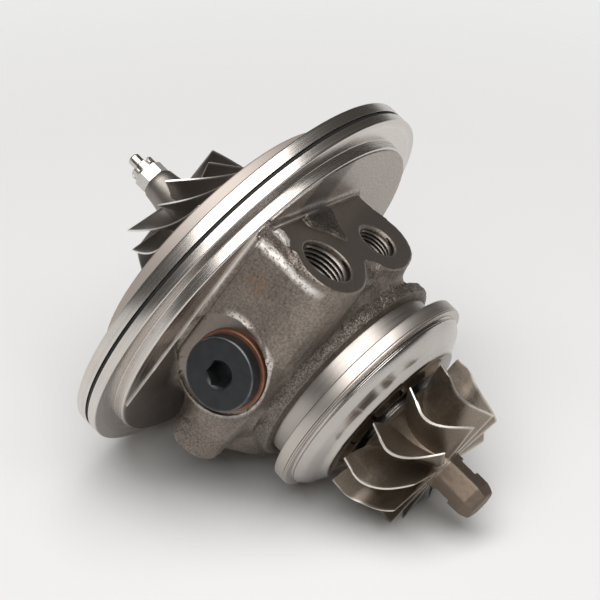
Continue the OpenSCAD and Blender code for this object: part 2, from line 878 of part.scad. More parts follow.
// Compressor blades: full ones from the inlet, half ones from a little further on
module compressor_blades(start, first_angle) {
  stations = 12;
  rows = 3;
  in_r = comp_in_d / 2;
  // The blades end a little inside the rim of the back disc
  out_r = comp_out_d / 2 - 0.2;
  inlet = comp_nose + 6.9;
  outlet = wheel_back - 1.5;
  root_line = [[inlet, 4.2], [inlet + 9, 5], [outlet + 0.5, 10], [outlet + 0.5, out_r]];
  tip_line = [
    [inlet, in_r], [inlet + 7, in_r + 0.2], [outlet - comp_out_b - 1, in_r + 2.4], [outlet - comp_out_b, out_r]
  ];
  rings = [
    for (i = [0 : stations])
      let (t = start + (1 - start) * i / stations)
      let (swept = -comp_wrap * (1.25 * t - 0.25 * t * t))
        blade_ring(
          curve(root_line, t), curve(tip_line, t), function (x) swept, [1.8, 0.7], in_r, rows
        )
  ];
  for (i = [0 : comp_blades - 1])
    rotate([first_angle + i * 360 / comp_blades, 0, 0])
      loft(rings);
}

module compressor_wheel() {
  steps = 9;
  out_r = comp_out_d / 2;
  hub_front_r = 4.5;
  full_angle = 85;
  half_start = 0.15;
  hub_line = [
    [comp_nose + 0.8, hub_front_r], [comp_nose + 14, hub_front_r + 1.6],
    [wheel_back - 1.8, 11], [wheel_back - 1.5, out_r]
  ];
  color("#8c8884")
    difference() {
      union() {
        turned(concat(
          [[comp_nose, 0], [comp_nose, hub_front_r - 0.6]],
          [for (i = [0 : steps]) curve(hub_line, i / steps)],
          [[wheel_back - 0.4, out_r], [wheel_back, out_r - 6], [wheel_back, 0]]
        ));
        compressor_blades(0, full_angle);
        compressor_blades(half_start, full_angle + 180 / comp_blades);
      }
      bar(comp_nose - 1, wheel_back + 1, stub_r + fit_gap);
    }
}

module lock_nut() {
  collar_r = nut_af / 2 - 0.2;
  // Slots across the collar
  slots = 6;
  slot_w = 1.4;
  slot_depth = 1.7;
  // How far the tightened nut has come round
  nut_turn = 18;
  color("#c9c6c2")
    difference() {
      union() {
        rotate([nut_turn, 0, 0])
          translate([nut_front, 0, 0])
            rotate([0, 90, 0])
              cylinder(h = nut_h, r = nut_af / 2 / cos(30), $fn = 6);
        bar(nut_collar_front, nut_front + 0.5, collar_r);
      }
      bar(nut_collar_front - 1, comp_nose + 1, stub_r + fit_gap);
      for (i = [0 : slots - 1])
        rotate([nut_turn + i * 360 / slots, 0, 0])
          translate([nut_collar_front - 1, -slot_w / 2, 0])
            cube([slot_depth + 1, slot_w, nut_af]);
    }
}

bearing_housing();
flange_seal_ring();
port_plug();
plug_washer();
heat_shield();
seal_plate();
seal_plate_o_ring();
seal_plate_snap_ring();
oil_deflector();
thrust_bearing();
bearing_snap_rings();
compressor_piston_ring();
turbine_piston_rings();
compressor_journal_bearing();
turbine_journal_bearing();
rotor_shaft();
turbine_wheel();
thrust_collar();
oil_flinger();
compressor_wheel();
lock_nut();
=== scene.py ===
"""Looks of a turbo cartridge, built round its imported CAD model. Shapes are worked out in millimetres."""

import math

import bpy
import numpy as np
from mathutils import Matrix, Vector


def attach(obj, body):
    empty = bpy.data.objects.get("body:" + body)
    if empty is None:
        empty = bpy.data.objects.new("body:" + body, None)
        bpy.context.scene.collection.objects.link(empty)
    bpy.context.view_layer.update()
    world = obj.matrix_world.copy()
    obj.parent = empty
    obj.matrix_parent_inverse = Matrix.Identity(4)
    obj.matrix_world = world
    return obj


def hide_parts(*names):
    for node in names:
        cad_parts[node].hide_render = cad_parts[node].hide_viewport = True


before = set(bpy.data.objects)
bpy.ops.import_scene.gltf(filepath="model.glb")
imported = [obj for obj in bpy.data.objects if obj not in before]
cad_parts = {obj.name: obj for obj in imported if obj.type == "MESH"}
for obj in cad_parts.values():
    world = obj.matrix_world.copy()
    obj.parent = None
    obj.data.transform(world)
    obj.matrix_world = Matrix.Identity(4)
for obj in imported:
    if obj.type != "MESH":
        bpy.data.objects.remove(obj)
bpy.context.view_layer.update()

# Bearing housing: a grey iron sand casting that carries the shaft, with tapped ports on a milled pad.
# The casting is blended from plain forms, as a pattern maker blends them with fillets,
# and the machined faces are cut into it afterwards.
PAD_Z = 33.0
PORT_X = 18.2
COOLANT_Y = -26.4
SIDE_Y = -37.0
SPOT_Y = -36.2
PLUG_Z = -2.0
WEB_X = 3.05
PLATE_X = 3.45
PLATE_R = 48.9
LEDGE_Y, LEDGE_Z, LEDGE_HALF = -14.7, 34.35, 21.4
BOSS_X, BOSS_Z = 16.8, -3.0
SPOT_X, SPOT_Z = 16.0, -2.3
LUG_Y = 22.5
DRAIN_Z = -33.0
COLLAR_START = 29.4

grain = np.random.default_rng(11).random((64, 64, 64)).astype(np.float32)


def noise(x, y, z, size):
    """Smooth noise from -1 to 1, with lumps about size millimetres wide."""
    total = 0.0
    cells, ways = [], []
    for value in (x, y, z):
        scaled = value / size + 1000.0
        base = np.floor(scaled)
        part = scaled - base
        cells.append(base.astype(np.int32))
        ways.append(part * part * (3 - 2 * part))
    for a in (0, 1):
        for b in (0, 1):
            for c in (0, 1):
                corner = grain[(cells[0] + a) % 64, (cells[1] + b) % 64, (cells[2] + c) % 64]
                weight = (ways[0] if a else 1 - ways[0]) * (ways[1] if b else 1 - ways[1])
                total = total + corner * weight * (ways[2] if c else 1 - ways[2])
    return 2 * total - 1


def join(a, b, fillet):
    """Two forms as one casting, with a fillet where they meet."""
    mix = np.maximum(fillet - np.abs(a - b), 0) / fillet
    return np.minimum(a, b) - mix * mix * fillet / 4


def trim(a, b, rounding):
    """What two forms share, with its edge rounded."""
    return -join(-a, -b, rounding)


def outline(points, x, y):
    """Distance from a closed outline, less than nothing inside it."""
    near = np.float32(1e6)
    inside = np.float32(1.0)
    for (ax, ay), (bx, by) in zip(points, points[1:] + points[:1]):
        ex, ey = bx - ax, by - ay
        along = np.clip(((x - ax) * ex + (y - ay) * ey) / (ex * ex + ey * ey), 0, 1)
        near = np.minimum(near, (x - ax - along * ex) ** 2 + (y - ay - along * ey) ** 2)
        above, below = y >= ay, y < by
        left = ex * (y - ay) > ey * (x - ax)
        turned_over = (above & below & left) | (~above & ~below & ~left)
        inside = np.where(turned_over, -inside, inside)
    return inside * np.sqrt(near)


def rod(x, y, z, start, end, radius):
    """Round bar with round ends between two points."""
    way = [e - s for s, e in zip(start, end)]
    length = sum(w * w for w in way)
    along = ((x - start[0]) * way[0] + (y - start[1]) * way[1] + (z - start[2]) * way[2]) / length
    along = np.clip(along, 0, 1)
    gap = [v - s - along * w for v, s, w in zip((x, y, z), start, way)]
    return np.sqrt(gap[0] ** 2 + gap[1] ** 2 + gap[2] ** 2) - radius


def skin(form, low, high, step):
    """Quad skin round a form: one point in each cell that the surface crosses, drawn to its edges."""
    low = np.array(low, dtype=np.float32)
    axes = [np.arange(a, b + step, step, dtype=np.float32) for a, b in zip(low, high)]
    values = form(axes[0][:, None, None], axes[1][None, :, None], axes[2][None, None, :])
    inside = values < 0
    shape = np.array(inside.shape)
    owners, places, normals, quads = [], [], [], []
    for axis in range(3):
        u, v = (axis + 1) % 3, (axis + 2) % 3
        head = [slice(None)] * 3
        tail = [slice(None)] * 3
        head[axis], tail[axis] = slice(0, -1), slice(1, None)
        starts = np.argwhere(inside[tuple(head)] != inside[tuple(tail)])
        inner = [(starts[:, w] > 0) & (starts[:, w] < shape[w] - 1) for w in (u, v)]
        starts = starts[inner[0] & inner[1]]
        ends = starts.copy()
        ends[:, axis] += 1
        first, second = values[tuple(starts.T)], values[tuple(ends.T)]
        place = low + step * starts.astype(np.float32)
        place[:, axis] += step * first / (first - second)
        reach = step * 0.1
        slope = np.empty_like(place)
        for k in range(3):
            ahead, behind = place.copy(), place.copy()
            ahead[:, k] += reach
            behind[:, k] -= reach
            slope[:, k] = form(*ahead.T) - form(*behind.T)
        slope /= np.linalg.norm(slope, axis=1, keepdims=True) + 1e-9
        ring = []
        for back_u, back_v in ((1, 1), (0, 1), (0, 0), (1, 0)):
            cell = starts.copy()
            cell[:, u] -= back_u
            cell[:, v] -= back_v
            ring.append((cell[:, 0] * shape[1] + cell[:, 1]) * shape[2] + cell[:, 2])
        quad = np.stack(ring, axis=1)
        outward = first < 0
        quad[~outward] = quad[~outward][:, ::-1]
        quads.append(quad)
        owners += ring
        places += [place] * 4
        normals += [slope] * 4
    owners, places, normals = np.concatenate(owners), np.concatenate(places), np.concatenate(normals)
    names, owners = np.unique(owners, return_inverse=True)
    count = np.bincount(owners).astype(np.float64)
    middle = np.stack([np.bincount(owners, places[:, k]) / count for k in range(3)], axis=1)
    shift = places - middle[owners]
    pull = (normals * shift).sum(axis=1)
    square = np.empty((len(names), 3, 3))
    side = np.empty((len(names), 3))
    for a in range(3):
        side[:, a] = np.bincount(owners, normals[:, a] * pull)
        for b in range(3):
            square[:, a, b] = np.bincount(owners, normals[:, a] * normals[:, b])
    square += 0.12 * np.eye(3)
    move = np.linalg.solve(square, side[:, :, None])[:, :, 0]
    points = middle + np.clip(move, -step, step)
    faces = np.searchsorted(names, np.concatenate(quads))
    return points, faces


def softened(points):
    """A closed outline with every corner cut at a quarter of its sides."""
    return [
        (a[0] + (b[0] - a[0]) * share, a[1] + (b[1] - a[1]) * share)
        for a, b in zip(points, points[1:] + points[:1]) for share in (0.25, 0.75)
    ]


core_x = np.linspace(0, 40, 161)
core_way = np.clip((core_x - 4.3) / (27.6 - 4.3), 0, 1)
core_line = 32.5 + (26.4 - 32.5) * (1 - np.cos(np.pi * core_way)) / 2
pad = softened([
    (0.0, -33.0), (9.0, -33.0), (11.6, -34.6), (15.7, -37.1), (20.7, -37.6), (24.9, -36.2), (28.1, -32.1),
    (29.3, -26.9), (28.2, -21.0), (25.0, -15.9), (22.0, -12.3), (23.2, -9.6), (26.0, -8.0), (28.0, -3.9),
    (28.2, 1.2), (25.9, 7.8), (22.7, 11.0), (17.8, 12.8), (12.9, 11.9), (8.7, 10.0), (0.0, 9.6),
])
island = softened([
    (3.0, -20.4), (5.1, -20.4), (7.6, -21.0), (9.6, -18.4), (11.2, -15.7), (13.7, -14.1), (15.6, -12.0),
    (10.1, -9.3), (6.7, -6.9), (3.0, -9.0),
])
horn_side = [
    (4.6, 28.5), (5.0, 32.8), (6.0, 34.2), (7.2, 34.5), (9.4, 33.9), (11.6, 32.8), (14.0, 31.9), (14.0, 28.5),
]


def chord_side(y, z):
    """Distance beyond the straight edge of the plate that the casting stands on."""
    return -(y + 38.0 - 0.013 * (z + 1))


def ledge_face(y):
    """Place along the shaft of the ledge's front, which runs a little out of square."""
    return 5.0 - 0.0234 * (y - LEDGE_Y)


def cast_form(x, y, z):
    """The rough casting, before it is machined."""
    around = np.hypot(y, z)
    core = np.maximum(around - np.interp(x, core_x, core_line).astype(np.float32), x - 33.0)
    collar = trim(np.abs(x - 31.5) - 1.8, around - 28.7, 1.6)
    form = join(core, collar, 1.6)
    # Plug side: a flat wall under the towers of both ports, a sloped shoulder, and the boss of the plug
    lobes = outline(pad, x, y)
    wall = trim(trim(SIDE_Y - y, -12.5 - z, 9.0), x - 17.5, 2.0)
    wall = np.maximum(wall, y + 4.0)
    towers = np.maximum(lobes - 0.025 * (PAD_Z - z), PLUG_Z - z)
    drawn_out = np.clip((x - 11.0) / 9.0, 0, 1)
    drawn_out = 3.4 * drawn_out * drawn_out * (3 - 2 * drawn_out)
    shoulder = -0.82 * (y + 37.0 + drawn_out) + 0.573 * (z - 29.0)
    side = trim(join(wall, towers, 1.5), shoulder, 0.7)
    boss = np.maximum(np.hypot(x - BOSS_X, z - BOSS_Z) - 12.9, np.maximum(-37.1 - y, y))
    form = join(form, join(side, boss, 2.5), 4.0)
    saddle = trim(np.hypot(x - 20.9, y + 14.0) - 6.6, z - 31.3, 2.0)
    ramp = trim(np.hypot(x - 22.0, 0.62 * (y + 9.0)) - 9.0, z - 30.0 + 0.3 * (x - 20.0), 2.5)
    form = join(form, np.maximum(join(saddle, ramp, 2.0), -z), 2.5)
    # Boss of the open coolant port on the far side
    far_boss = np.maximum(np.hypot(x - PORT_X, z - PLUG_Z) - 12.2, np.maximum(y - 36.9, -y))
    form = join(form, far_boss, 4.5)
    # Oil drain below, with its two bolt lugs
    pipe = np.maximum(np.hypot(x - PORT_X, y) - 12.2, np.maximum(-33.6 - z, z + 4))
    lugs = np.hypot(x - PORT_X, np.abs(y) - LUG_Y) - 7.2
    lugs = join(lugs, np.maximum(np.abs(x - PORT_X) - 5.6, np.abs(y) - LUG_Y), 3.0)
    lugs = trim(lugs, np.maximum(-33.8 - z, z + 16.0), 4.0)
    form = join(form, join(pipe, lugs, 7.0), 7.5)
    # Over the pad's height only a horn on the shoulder and an island are left
    form = trim(form, z - PAD_Z - 0.5, 0.5)
    peak = trim(outline(island, x, y) + 0.5 * (z - PAD_Z), z - 34.5 + 0.06 * (x - 4.5), 0.9)
    form = join(form, np.maximum(peak, PAD_Z - 4 - z), 0.6)
    horn = trim(outline(horn_side, x, z), np.abs(y + 34.9) - 1.4, 1.0)
    form = join(form, horn, 0.8)
    valley = rod(x, y, z, (5.2, -37.0, 31.6), (11.5, -37.0, 30.9), 1.0)
    form = trim(form, -valley, 0.6)
    # Low plate on the flange, with a fillet all round but for its straight edge
    plate = np.maximum(x - PLATE_X, around - PLATE_R)
    form = join(form, np.maximum(plate, -34.0 - y), 0.3 + 2.3 * np.clip((y + 35.0) / 8.0, 0, 1))
    return np.minimum(form, np.maximum(plate, chord_side(y, z)))


def roughness_zone(x, y, z):
    """1 where the skin of the mould still shows coarse, 0 on the smooth wall."""
    around = np.hypot(y, z)
    zone = np.clip((x - COLLAR_START) / 0.6, 0, 1) * np.clip((33.0 - x) / 0.3, 0, 1)
    brow = np.clip((z - 28.9 - 0.3 * noise(x, y, z, 2.5)) / 0.5, 0, 1) * np.clip((-33.4 - y) / 0.8, 0, 1)
    brow = brow * np.clip((24.0 - x) / 4.0, 0, 1)
    tops = np.clip((z - PAD_Z - 0.1) / 0.3, 0, 1) * np.clip((x - 5.6) / 0.3, 0, 1)
    gap = np.clip(1.6 - np.hypot(x - 25.0, (y + 14.5) * 0.7) / 4.0, 0, 1) * np.clip((z - 24) / 4, 0, 1)
    foot = np.clip((-22.0 - z) / 4.0, 0, 1) * np.clip((around - 25) / 3, 0, 1)
    foot = foot * np.clip((10.5 - np.hypot(x - PORT_X, np.abs(y) - LUG_Y)) / 3.0, 0, 1)
    crescent = np.clip((15.5 - np.hypot(x - BOSS_X, z - BOSS_Z)) / 1.5, 0, 1)
    crescent = crescent * np.clip((-34.0 - y) / 1.0, 0, 1) * np.clip((-2 - z) / 4, 0, 1)
    zones = np.broadcast_arrays(zone, brow, tops, gap, 0.8 * foot, 0.7 * crescent)
    return np.clip(np.maximum.reduce(zones), 0, 1)


def housing_form(x, y, z):
    """The casting with its sand skin, then the machined faces and ports cut into it."""
    form = cast_form(x, y, z)
    rough = roughness_zone(x, y, z)
    calm = np.clip((x - PLATE_X - 0.3) / 1.2, 0.15, 1)
    form = form + 0.09 * calm * noise(x, y, z, 6.0) + (0.03 * calm + 0.08 * rough) * noise(x, y, z, 1.4)
    form = form + (0.015 * calm + 0.08 * rough) * noise(x + 9, y, z, 0.75)
    # Foot of the wall: a ledge over the pad, and a low strip along the plate's straight edge
    ledge = np.maximum(x - ledge_face(y), np.abs(y - LEDGE_Y) - LEDGE_HALF)
    ledge = np.maximum(ledge, np.maximum(z - LEDGE_Z, 20.0 - z))
    form = np.minimum(form, ledge)
    drawn_in = 0.7 * np.clip((8.0 - z) / 16.0, 0, 1)
    strip = np.maximum(np.maximum(x - 5.1, drawn_in - 37.5 - y), np.maximum(-3.0 - z, z - 29.7))
    form = np.minimum(form, np.maximum(strip, y + 20))
    # Milled pad: everything over the ports down to one height, its outer edge broken
    lobes = outline(pad, x, y)
    pocket = np.maximum(lobes - 0.5, -(outline(island, x, y) + 0.5 * (z - PAD_Z)))
    pocket = np.maximum(np.maximum(pocket, PAD_Z - z), ledge_face(y) - x)
    form = np.maximum(form, -pocket)
    break_edge = np.minimum((lobes + z - PAD_Z + 0.4) * 0.707, np.minimum(z - PAD_Z + 1.2, x - 14.0))
    form = np.maximum(form, break_edge)
    # Tapped ports on the pad, with countersunk mouths
    for port_y, radius, depth, flare in ((COOLANT_Y, 6.9, 17.0, 0.3), (0.0, 5.0, 14.0, 0.65)):
        around = np.hypot(x - PORT_X, y - port_y)
        hole = np.maximum(around - radius, PAD_Z - depth - z)
        mouth = np.maximum((around - radius - flare + (PAD_Z - z)) * 0.707, z - PAD_Z - 0.2)
        form = np.maximum(form, -np.minimum(hole, mouth))
    # Side ports with their spot faces
    around = np.hypot(x - PORT_X, z - PLUG_Z)
    spot = np.maximum(np.hypot(x - SPOT_X, z - SPOT_Z) - 12.8, 4.8 - x)
    form = np.maximum(form, -np.maximum(spot, y - SPOT_Y))
    form = np.maximum(form, -np.maximum(around - 12.0, -SPOT_Y - y))
    far_hole = np.minimum(np.maximum(around - 7.0, 21.0 - y), (around - 7.9 - SPOT_Y - y) * 0.707)
    form = np.maximum(form, -far_hole)
    # Drain face, drain bore, bolt holes and the hollow round the shaft
    form = np.maximum(form, np.minimum(DRAIN_Z - z, x - 4.0))
    form = np.maximum(form, -np.maximum(np.hypot(x - PORT_X, y) - 7.5, z + 6.0))
    bolts = np.hypot(x - PORT_X, np.abs(y) - LUG_Y)
    form = np.maximum(form, -np.maximum(bolts - 4.0, z + 21.0))
    hollow = np.maximum(np.hypot(y, z) - 10.5, np.abs(x - 17.0) - 7.0)
    return np.maximum(form, -hollow)


cast_step = 0.36
cast_points, cast_faces = skin(housing_form, (2.5, -41.0, -50.0), (34.2, 50.0, 50.0), cast_step)


def mesh_piece(name, points, faces, sharp=35):
    """A mesh object from points in millimetres, smooth but for edges sharper than an angle in degrees."""
    mesh = bpy.data.meshes.new(name)
    points = np.asarray(points, dtype=np.float64) / 1000
    mesh.from_pydata(points.tolist(), [], [list(map(int, f)) for f in faces])
    mesh.update()
    mesh.shade_smooth()
    mesh.set_sharp_from_angle(angle=math.radians(sharp))
    piece = bpy.data.objects.new(name, mesh)
    bpy.context.scene.collection.objects.link(piece)
    return piece


def set_zone(piece, name, values):
    """A value for each point of a piece, for its material to read."""
    zone = piece.data.attributes.new(name, "FLOAT", "POINT")
    zone.data.foreach_set("value", np.asarray(values, dtype=np.float32))


def add(tree, kind, inputs=(), **settings):
    """One node of a material, with its settings, and its inputs given as values or joined to other nodes."""
    node = tree.nodes.new(kind)
    for key, value in settings.items():
        setattr(node, key, value)
    for key, value in dict(inputs).items():
        if isinstance(value, bpy.types.NodeSocket):
            tree.links.new(value, node.inputs[key])
        else:
            node.inputs[key].default_value = value
    return node


def tone(code):
    """A colour for the shaders from its sRGB hex code."""
    channels = [int(code[i:i + 2], 16) / 255 for i in (1, 3, 5)]
    return [c / 12.92 if c <= 0.04045 else ((c + 0.055) / 1.055) ** 2.4 for c in channels] + [1.0]


def material(name, **constants):
    """An empty finish: its material, node tree and shader, and the object's own places."""
    finish = bpy.data.materials.new(name)
    finish.use_nodes = True
    tree = finish.node_tree
    shader = tree.nodes["Principled BSDF"]
    for key, value in constants.items():
        shader.inputs[key.replace("_", " ")].default_value = value
    place = add(tree, "ShaderNodeTexCoord").outputs["Object"]
    return finish, tree, shader, place


def per_mm(size):
    """Texture scale, in metres, that gives lumps of a size in millimetres."""
    return 1000.0 / size


def mixed(tree, share, low, high, how="MIX"):
    """One colour over another by a share."""
    return add(tree, "ShaderNodeMix", {0: share, 6: low, 7: high}, data_type="RGBA", blend_type=how).outputs[2]


def between(tree, share, low, high):
    """A value between two others by a share."""
    return add(tree, "ShaderNodeMix", {0: share, 2: low, 3: high}).outputs[0]


def ranged(tree, value, start=0.0, end=1.0, low=0.0, high=1.0):
    """A value that goes from low to high while another goes from start to end."""
    return add(tree, "ShaderNodeMapRange", {0: value, 1: start, 2: end, 3: low, 4: high}).outputs[0]


def combined(tree, how, a, b):
    """Two values worked into one."""
    return add(tree, "ShaderNodeMath", {0: a, 1: b}, operation=how).outputs[0]


def lumps(tree, place, size, detail, harsh=0.5):
    """Noise with lumps of a size in millimetres."""
    inputs = {"Vector": place, "Scale": per_mm(size), "Detail": detail, "Roughness": harsh}
    return add(tree, "ShaderNodeTexNoise", inputs).outputs["Fac"]


def zone_value(tree, name):
    """What set_zone gave the points of a piece."""
    return add(tree, "ShaderNodeAttribute", attribute_name=name).outputs["Fac"]


def set_bump(tree, shader, height, strength, distance):
    """Fine relief on a finish, its full height in metres."""
    bump = add(tree, "ShaderNodeBump", {"Height": height, "Strength": strength, "Distance": distance})
    tree.links.new(bump.outputs[0], shader.inputs["Normal"])


# Sand cast grey iron, shot blasted: a dull brown-grey metal skin with fine sand grain, sparse dark pits,
# coarse beads where the mould was rough, a faint rust bloom, and paler cutter-marked faces where it was milled.
cast_iron, tree, shader, place = material("sand_cast_grey_iron")
rough = zone_value(tree, "rough")
milled = zone_value(tree, "milled")
wear_and_painted_highlight = zone_value(tree, "wear_and_painted_highlight")
patches = lumps(tree, place, 9, 4.0)
sand = lumps(tree, place, 0.7, 4.0, 0.75)
beads = add(tree, "ShaderNodeTexVoronoi", {"Vector": place, "Scale": per_mm(0.45)}).outputs["Distance"]
pits = add(tree, "ShaderNodeTexVoronoi", {"Vector": place, "Scale": per_mm(3.4)}).outputs["Distance"]
pits = ranged(tree, pits, 0.03, 0.09, 0.0, 1.0)
skin_tone = mixed(tree, patches, tone("#7a7068"), tone("#a1978e"))
# A lighter, smoother tone on the low plate; where it fades out towards the plate's bottom, the darker bottom is
# painted shade
plate_tone_and_shade = zone_value(tree, "plate")
skin_tone = mixed(tree, plate_tone_and_shade, skin_tone, tone("#b9b0a8"))
grain_glints_and_shade = ranged(tree, sand, 0.32, 0.68, 0.52, 1.36)
# Painted glints and shade: on the rough skin each bead is painted light at its top and dark at its edge
painted_bead_glints = ranged(tree, beads, 0.1, 0.7, 1.3, 0.5)
grain_glints_and_shade = between(tree, rough, grain_glints_and_shade, painted_bead_glints)
# A darker tone where the zone says: the island and the collar darker, and painted shade on the plate's lower
# left
darker_tone_and_shade = zone_value(tree, "darker_tone_and_shade")
darker_tone_and_shade = ranged(tree, darker_tone_and_shade, low=1.0, high=0.5)
grain_glints_and_shade = combined(tree, "MULTIPLY", grain_glints_and_shade, darker_tone_and_shade)
skin_tone = mixed(tree, 1.0, skin_tone, grain_glints_and_shade, "MULTIPLY")
rust_spot = (0.0107, -0.037, 0.0205)
rust_place = add(tree, "ShaderNodeVectorMath", {0: place, 1: rust_spot}, operation="DISTANCE").outputs[1]
rust = lumps(tree, place, 1.6, 4.0)
rust = ranged(tree, rust, 0.45, 0.7)
rust_reach = ranged(tree, rust_place, 0.0042, 0.001)
rust = combined(tree, "MULTIPLY", rust, rust_reach)
skin_tone = mixed(tree, rust, skin_tone, tone("#96755c"))
cut_tone = mixed(tree, sand, tone("#7b726b"), tone("#a59b93"))
skin_tone = mixed(tree, milled, skin_tone, cut_tone)
dark_pits = ranged(tree, pits, low=0.35, high=1.0)
skin_tone = mixed(tree, 1.0, skin_tone, dark_pits, "MULTIPLY")
# Painted highlights and glints: near-white colour, less metallic, where the zones put them; the glints come in
# specks
painted_glints = zone_value(tree, "painted_glints")
glint_specks = ranged(tree, sand, 0.37, 0.48)
painted_glints = combined(tree, "MULTIPLY", painted_glints, glint_specks)
wear_and_painted_highlight = combined(tree, "MAXIMUM", wear_and_painted_highlight, painted_glints)
skin_tone = mixed(tree, wear_and_painted_highlight, skin_tone, tone("#eee8e2"))
tree.links.new(skin_tone, shader.inputs["Base Color"])
metallic_share = ranged(tree, wear_and_painted_highlight, low=0.9, high=0.25)
tree.links.new(metallic_share, shader.inputs["Metallic"])
dullness = ranged(tree, sand, 0.3, 0.7, 0.42, 0.6)
dullness = between(tree, milled, dullness, 0.36)
dullness = between(tree, plate_tone_and_shade, dullness, 0.36)
tree.links.new(dullness, shader.inputs["Roughness"])
relief = combined(tree, "ADD", sand, pits)
bead_relief = combined(tree, "SUBTRACT", 1.0, beads)
relief = between(tree, rough, relief, bead_relief)
depth = ranged(tree, milled, low=0.55, high=0.08)
set_bump(tree, shader, relief, depth, 0.00025)

housing = mesh_piece("bearing_housing_casting", cast_points, cast_faces, 60)
housing.data.materials.append(cast_iron)
px, py, pz = cast_points.T
set_zone(housing, "rough", roughness_zone(px, py, pz))
FLAT = 0.06
pad_face = np.abs(pz - PAD_Z) < FLAT
from_spot = np.hypot(px - SPOT_X, pz - SPOT_Z)
spot_faces = (np.abs(np.abs(py) + SPOT_Y) < FLAT) & (from_spot < 13.0)
drain_face = np.abs(pz - DRAIN_Z) < FLAT
set_zone(housing, "milled", (pad_face | spot_faces | drain_face) & (px > 4.3))
# The plate's zone fades from its top to nothing at its bottom: the darker bottom is painted shade
set_zone(housing, "plate", 0.75 * np.clip((PLATE_X + 0.9 - px) / 0.6, 0, 1) * np.clip((pz + 25) / 30, 0, 1))
on_island = np.clip(1 - outline(island, px, py) / 1.5, 0, 1) * (pz > PAD_Z + 0.1)
on_collar = 0.3 * np.clip((px - COLLAR_START) / 0.6, 0, 1)
# Painted shade on the lower left of the plate, under the casting
low_plate_shade = 0.6 * np.clip((-6 - pz) / 8, 0, 1) * np.clip((PLATE_X + 1.5 - px) / 0.6, 0, 1)
set_zone(housing, "darker_tone_and_shade", np.maximum.reduce([on_island, on_collar, low_plate_shade]))
# Painted highlights and glints, near white in the colour: the plate's straight edge, the edge of the ledge, the
# foot of the shoulder, the horn and the rim of the spot face
plate_edge_highlight = np.clip(1.6 - (np.abs(chord_side(py, pz)) + np.abs(px - PLATE_X)) / 0.35, 0, 1)
plate_edge_highlight = plate_edge_highlight * (np.hypot(py, pz) < PLATE_R - 0.3)
ledge_edge_highlight = np.clip(1.3 - (np.abs(px - ledge_face(py)) + np.abs(pz - LEDGE_Z)) / 0.35, 0, 1)
ledge_edge_highlight = ledge_edge_highlight * (np.abs(py - LEDGE_Y) < LEDGE_HALF)
brow = np.clip(1.3 - np.abs(pz - 28.9 - 0.055 * (px - 4.6)) / 1.2, 0, 1) * (py < -34.4)
brow = brow * np.clip((26.0 - px) / 4.0, 0, 1) * (px > 4.8)
painted_crest_light = 0.6 * (pz > PAD_Z + 0.15) * (py < -33.0) * (px > 5.6)
spot_ring = np.clip(1.3 - np.abs(from_spot - 13.0) / 0.4, 0, 1) * (np.abs(py - SIDE_Y) < 0.5)
spot_rim_low_highlight = 0.7 * spot_ring * np.clip((px - 14.0) / 5.0, 0, 1) * np.clip((6.0 - pz) / 3, 0, 1)
spot_rim_high_glint = np.clip(1.4 - np.abs(from_spot - 13.4) / 0.9, 0, 1) * (np.abs(py - SIDE_Y) < 0.8)
spot_rim_high_glint = 0.7 * spot_rim_high_glint * np.clip((pz - 1.0) / 3, 0, 1) * np.clip((px - 8.0) / 3, 0, 1)
set_zone(housing, "wear_and_painted_highlight", np.maximum.reduce([plate_edge_highlight, 0.6 * ledge_edge_highlight, spot_rim_low_highlight]))
set_zone(housing, "painted_glints", np.maximum.reduce([brow, painted_crest_light, spot_rim_high_glint]))
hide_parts("bearing_housing")
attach(housing, "housing")


# Compressor flange disc: the end of the same casting, turned all over on a lathe.
# Its rim has the groove of a seal ring, and its rear carries a low turned web.
def rounded(corners, steps=4):
    """A closed profile of (place, radius, rounding) corners with its corners rounded."""
    line = []
    n = len(corners)
    for i, corner in enumerate(corners):
        p = np.array(corner[:2], dtype=float)
        size = corner[2] if len(corner) > 2 else 0
        if not size:
            line.append(p)
            continue
        back = np.array(corners[i - 1][:2], dtype=float) - p
        on = np.array(corners[(i + 1) % n][:2], dtype=float) - p
        a = p + back / np.linalg.norm(back) * size
        b = p + on / np.linalg.norm(on) * size
        for k in range(steps + 1):
            t = k / steps
            line.append((1 - t) ** 2 * a + 2 * t * (1 - t) * p + t * t * b)
    return np.array(line)


def turned(line, count=288, closed=True):
    """Points and faces of a profile of (place, radius) turned about the shaft."""
    angles = np.arange(count) * 2 * np.pi / count
    n = len(line)
    points = np.empty((count, n, 3))
    points[:, :, 0] = line[:, 0]
    points[:, :, 1] = np.cos(angles)[:, None] * line[:, 1]
    points[:, :, 2] = np.sin(angles)[:, None] * line[:, 1]
    i, j = np.meshgrid(np.arange(count), np.arange(n if closed else n - 1), indexing="ij")
    i2, j2 = (i + 1) % count, (j + 1) % n
    faces = np.stack([i * n + j, i * n + j2, i2 * n + j2, i2 * n + j], axis=-1).reshape(-1, 4)
    return points.reshape(-1, 3), faces


def ring_places(tree, place):
    """Distance from the shaft, and places that are the same all round it, for marks left by turning."""
    parts = add(tree, "ShaderNodeSeparateXYZ", {0: place}).outputs
    radius = add(tree, "ShaderNodeCombineXYZ", {0: parts[1], 1: parts[2]}).outputs[0]
    radius = add(tree, "ShaderNodeVectorMath", {0: radius}, operation="LENGTH").outputs[1]
    return radius, add(tree, "ShaderNodeCombineXYZ", {0: parts[0], 1: radius}).outputs[0]


def turned_sheen(tree, shader):
    """Draws the gloss out across the turning marks."""
    about_shaft = add(tree, "ShaderNodeTangent", direction_type="RADIAL", axis="X")
    tree.links.new(about_shaft.outputs[0], shader.inputs["Tangent"])


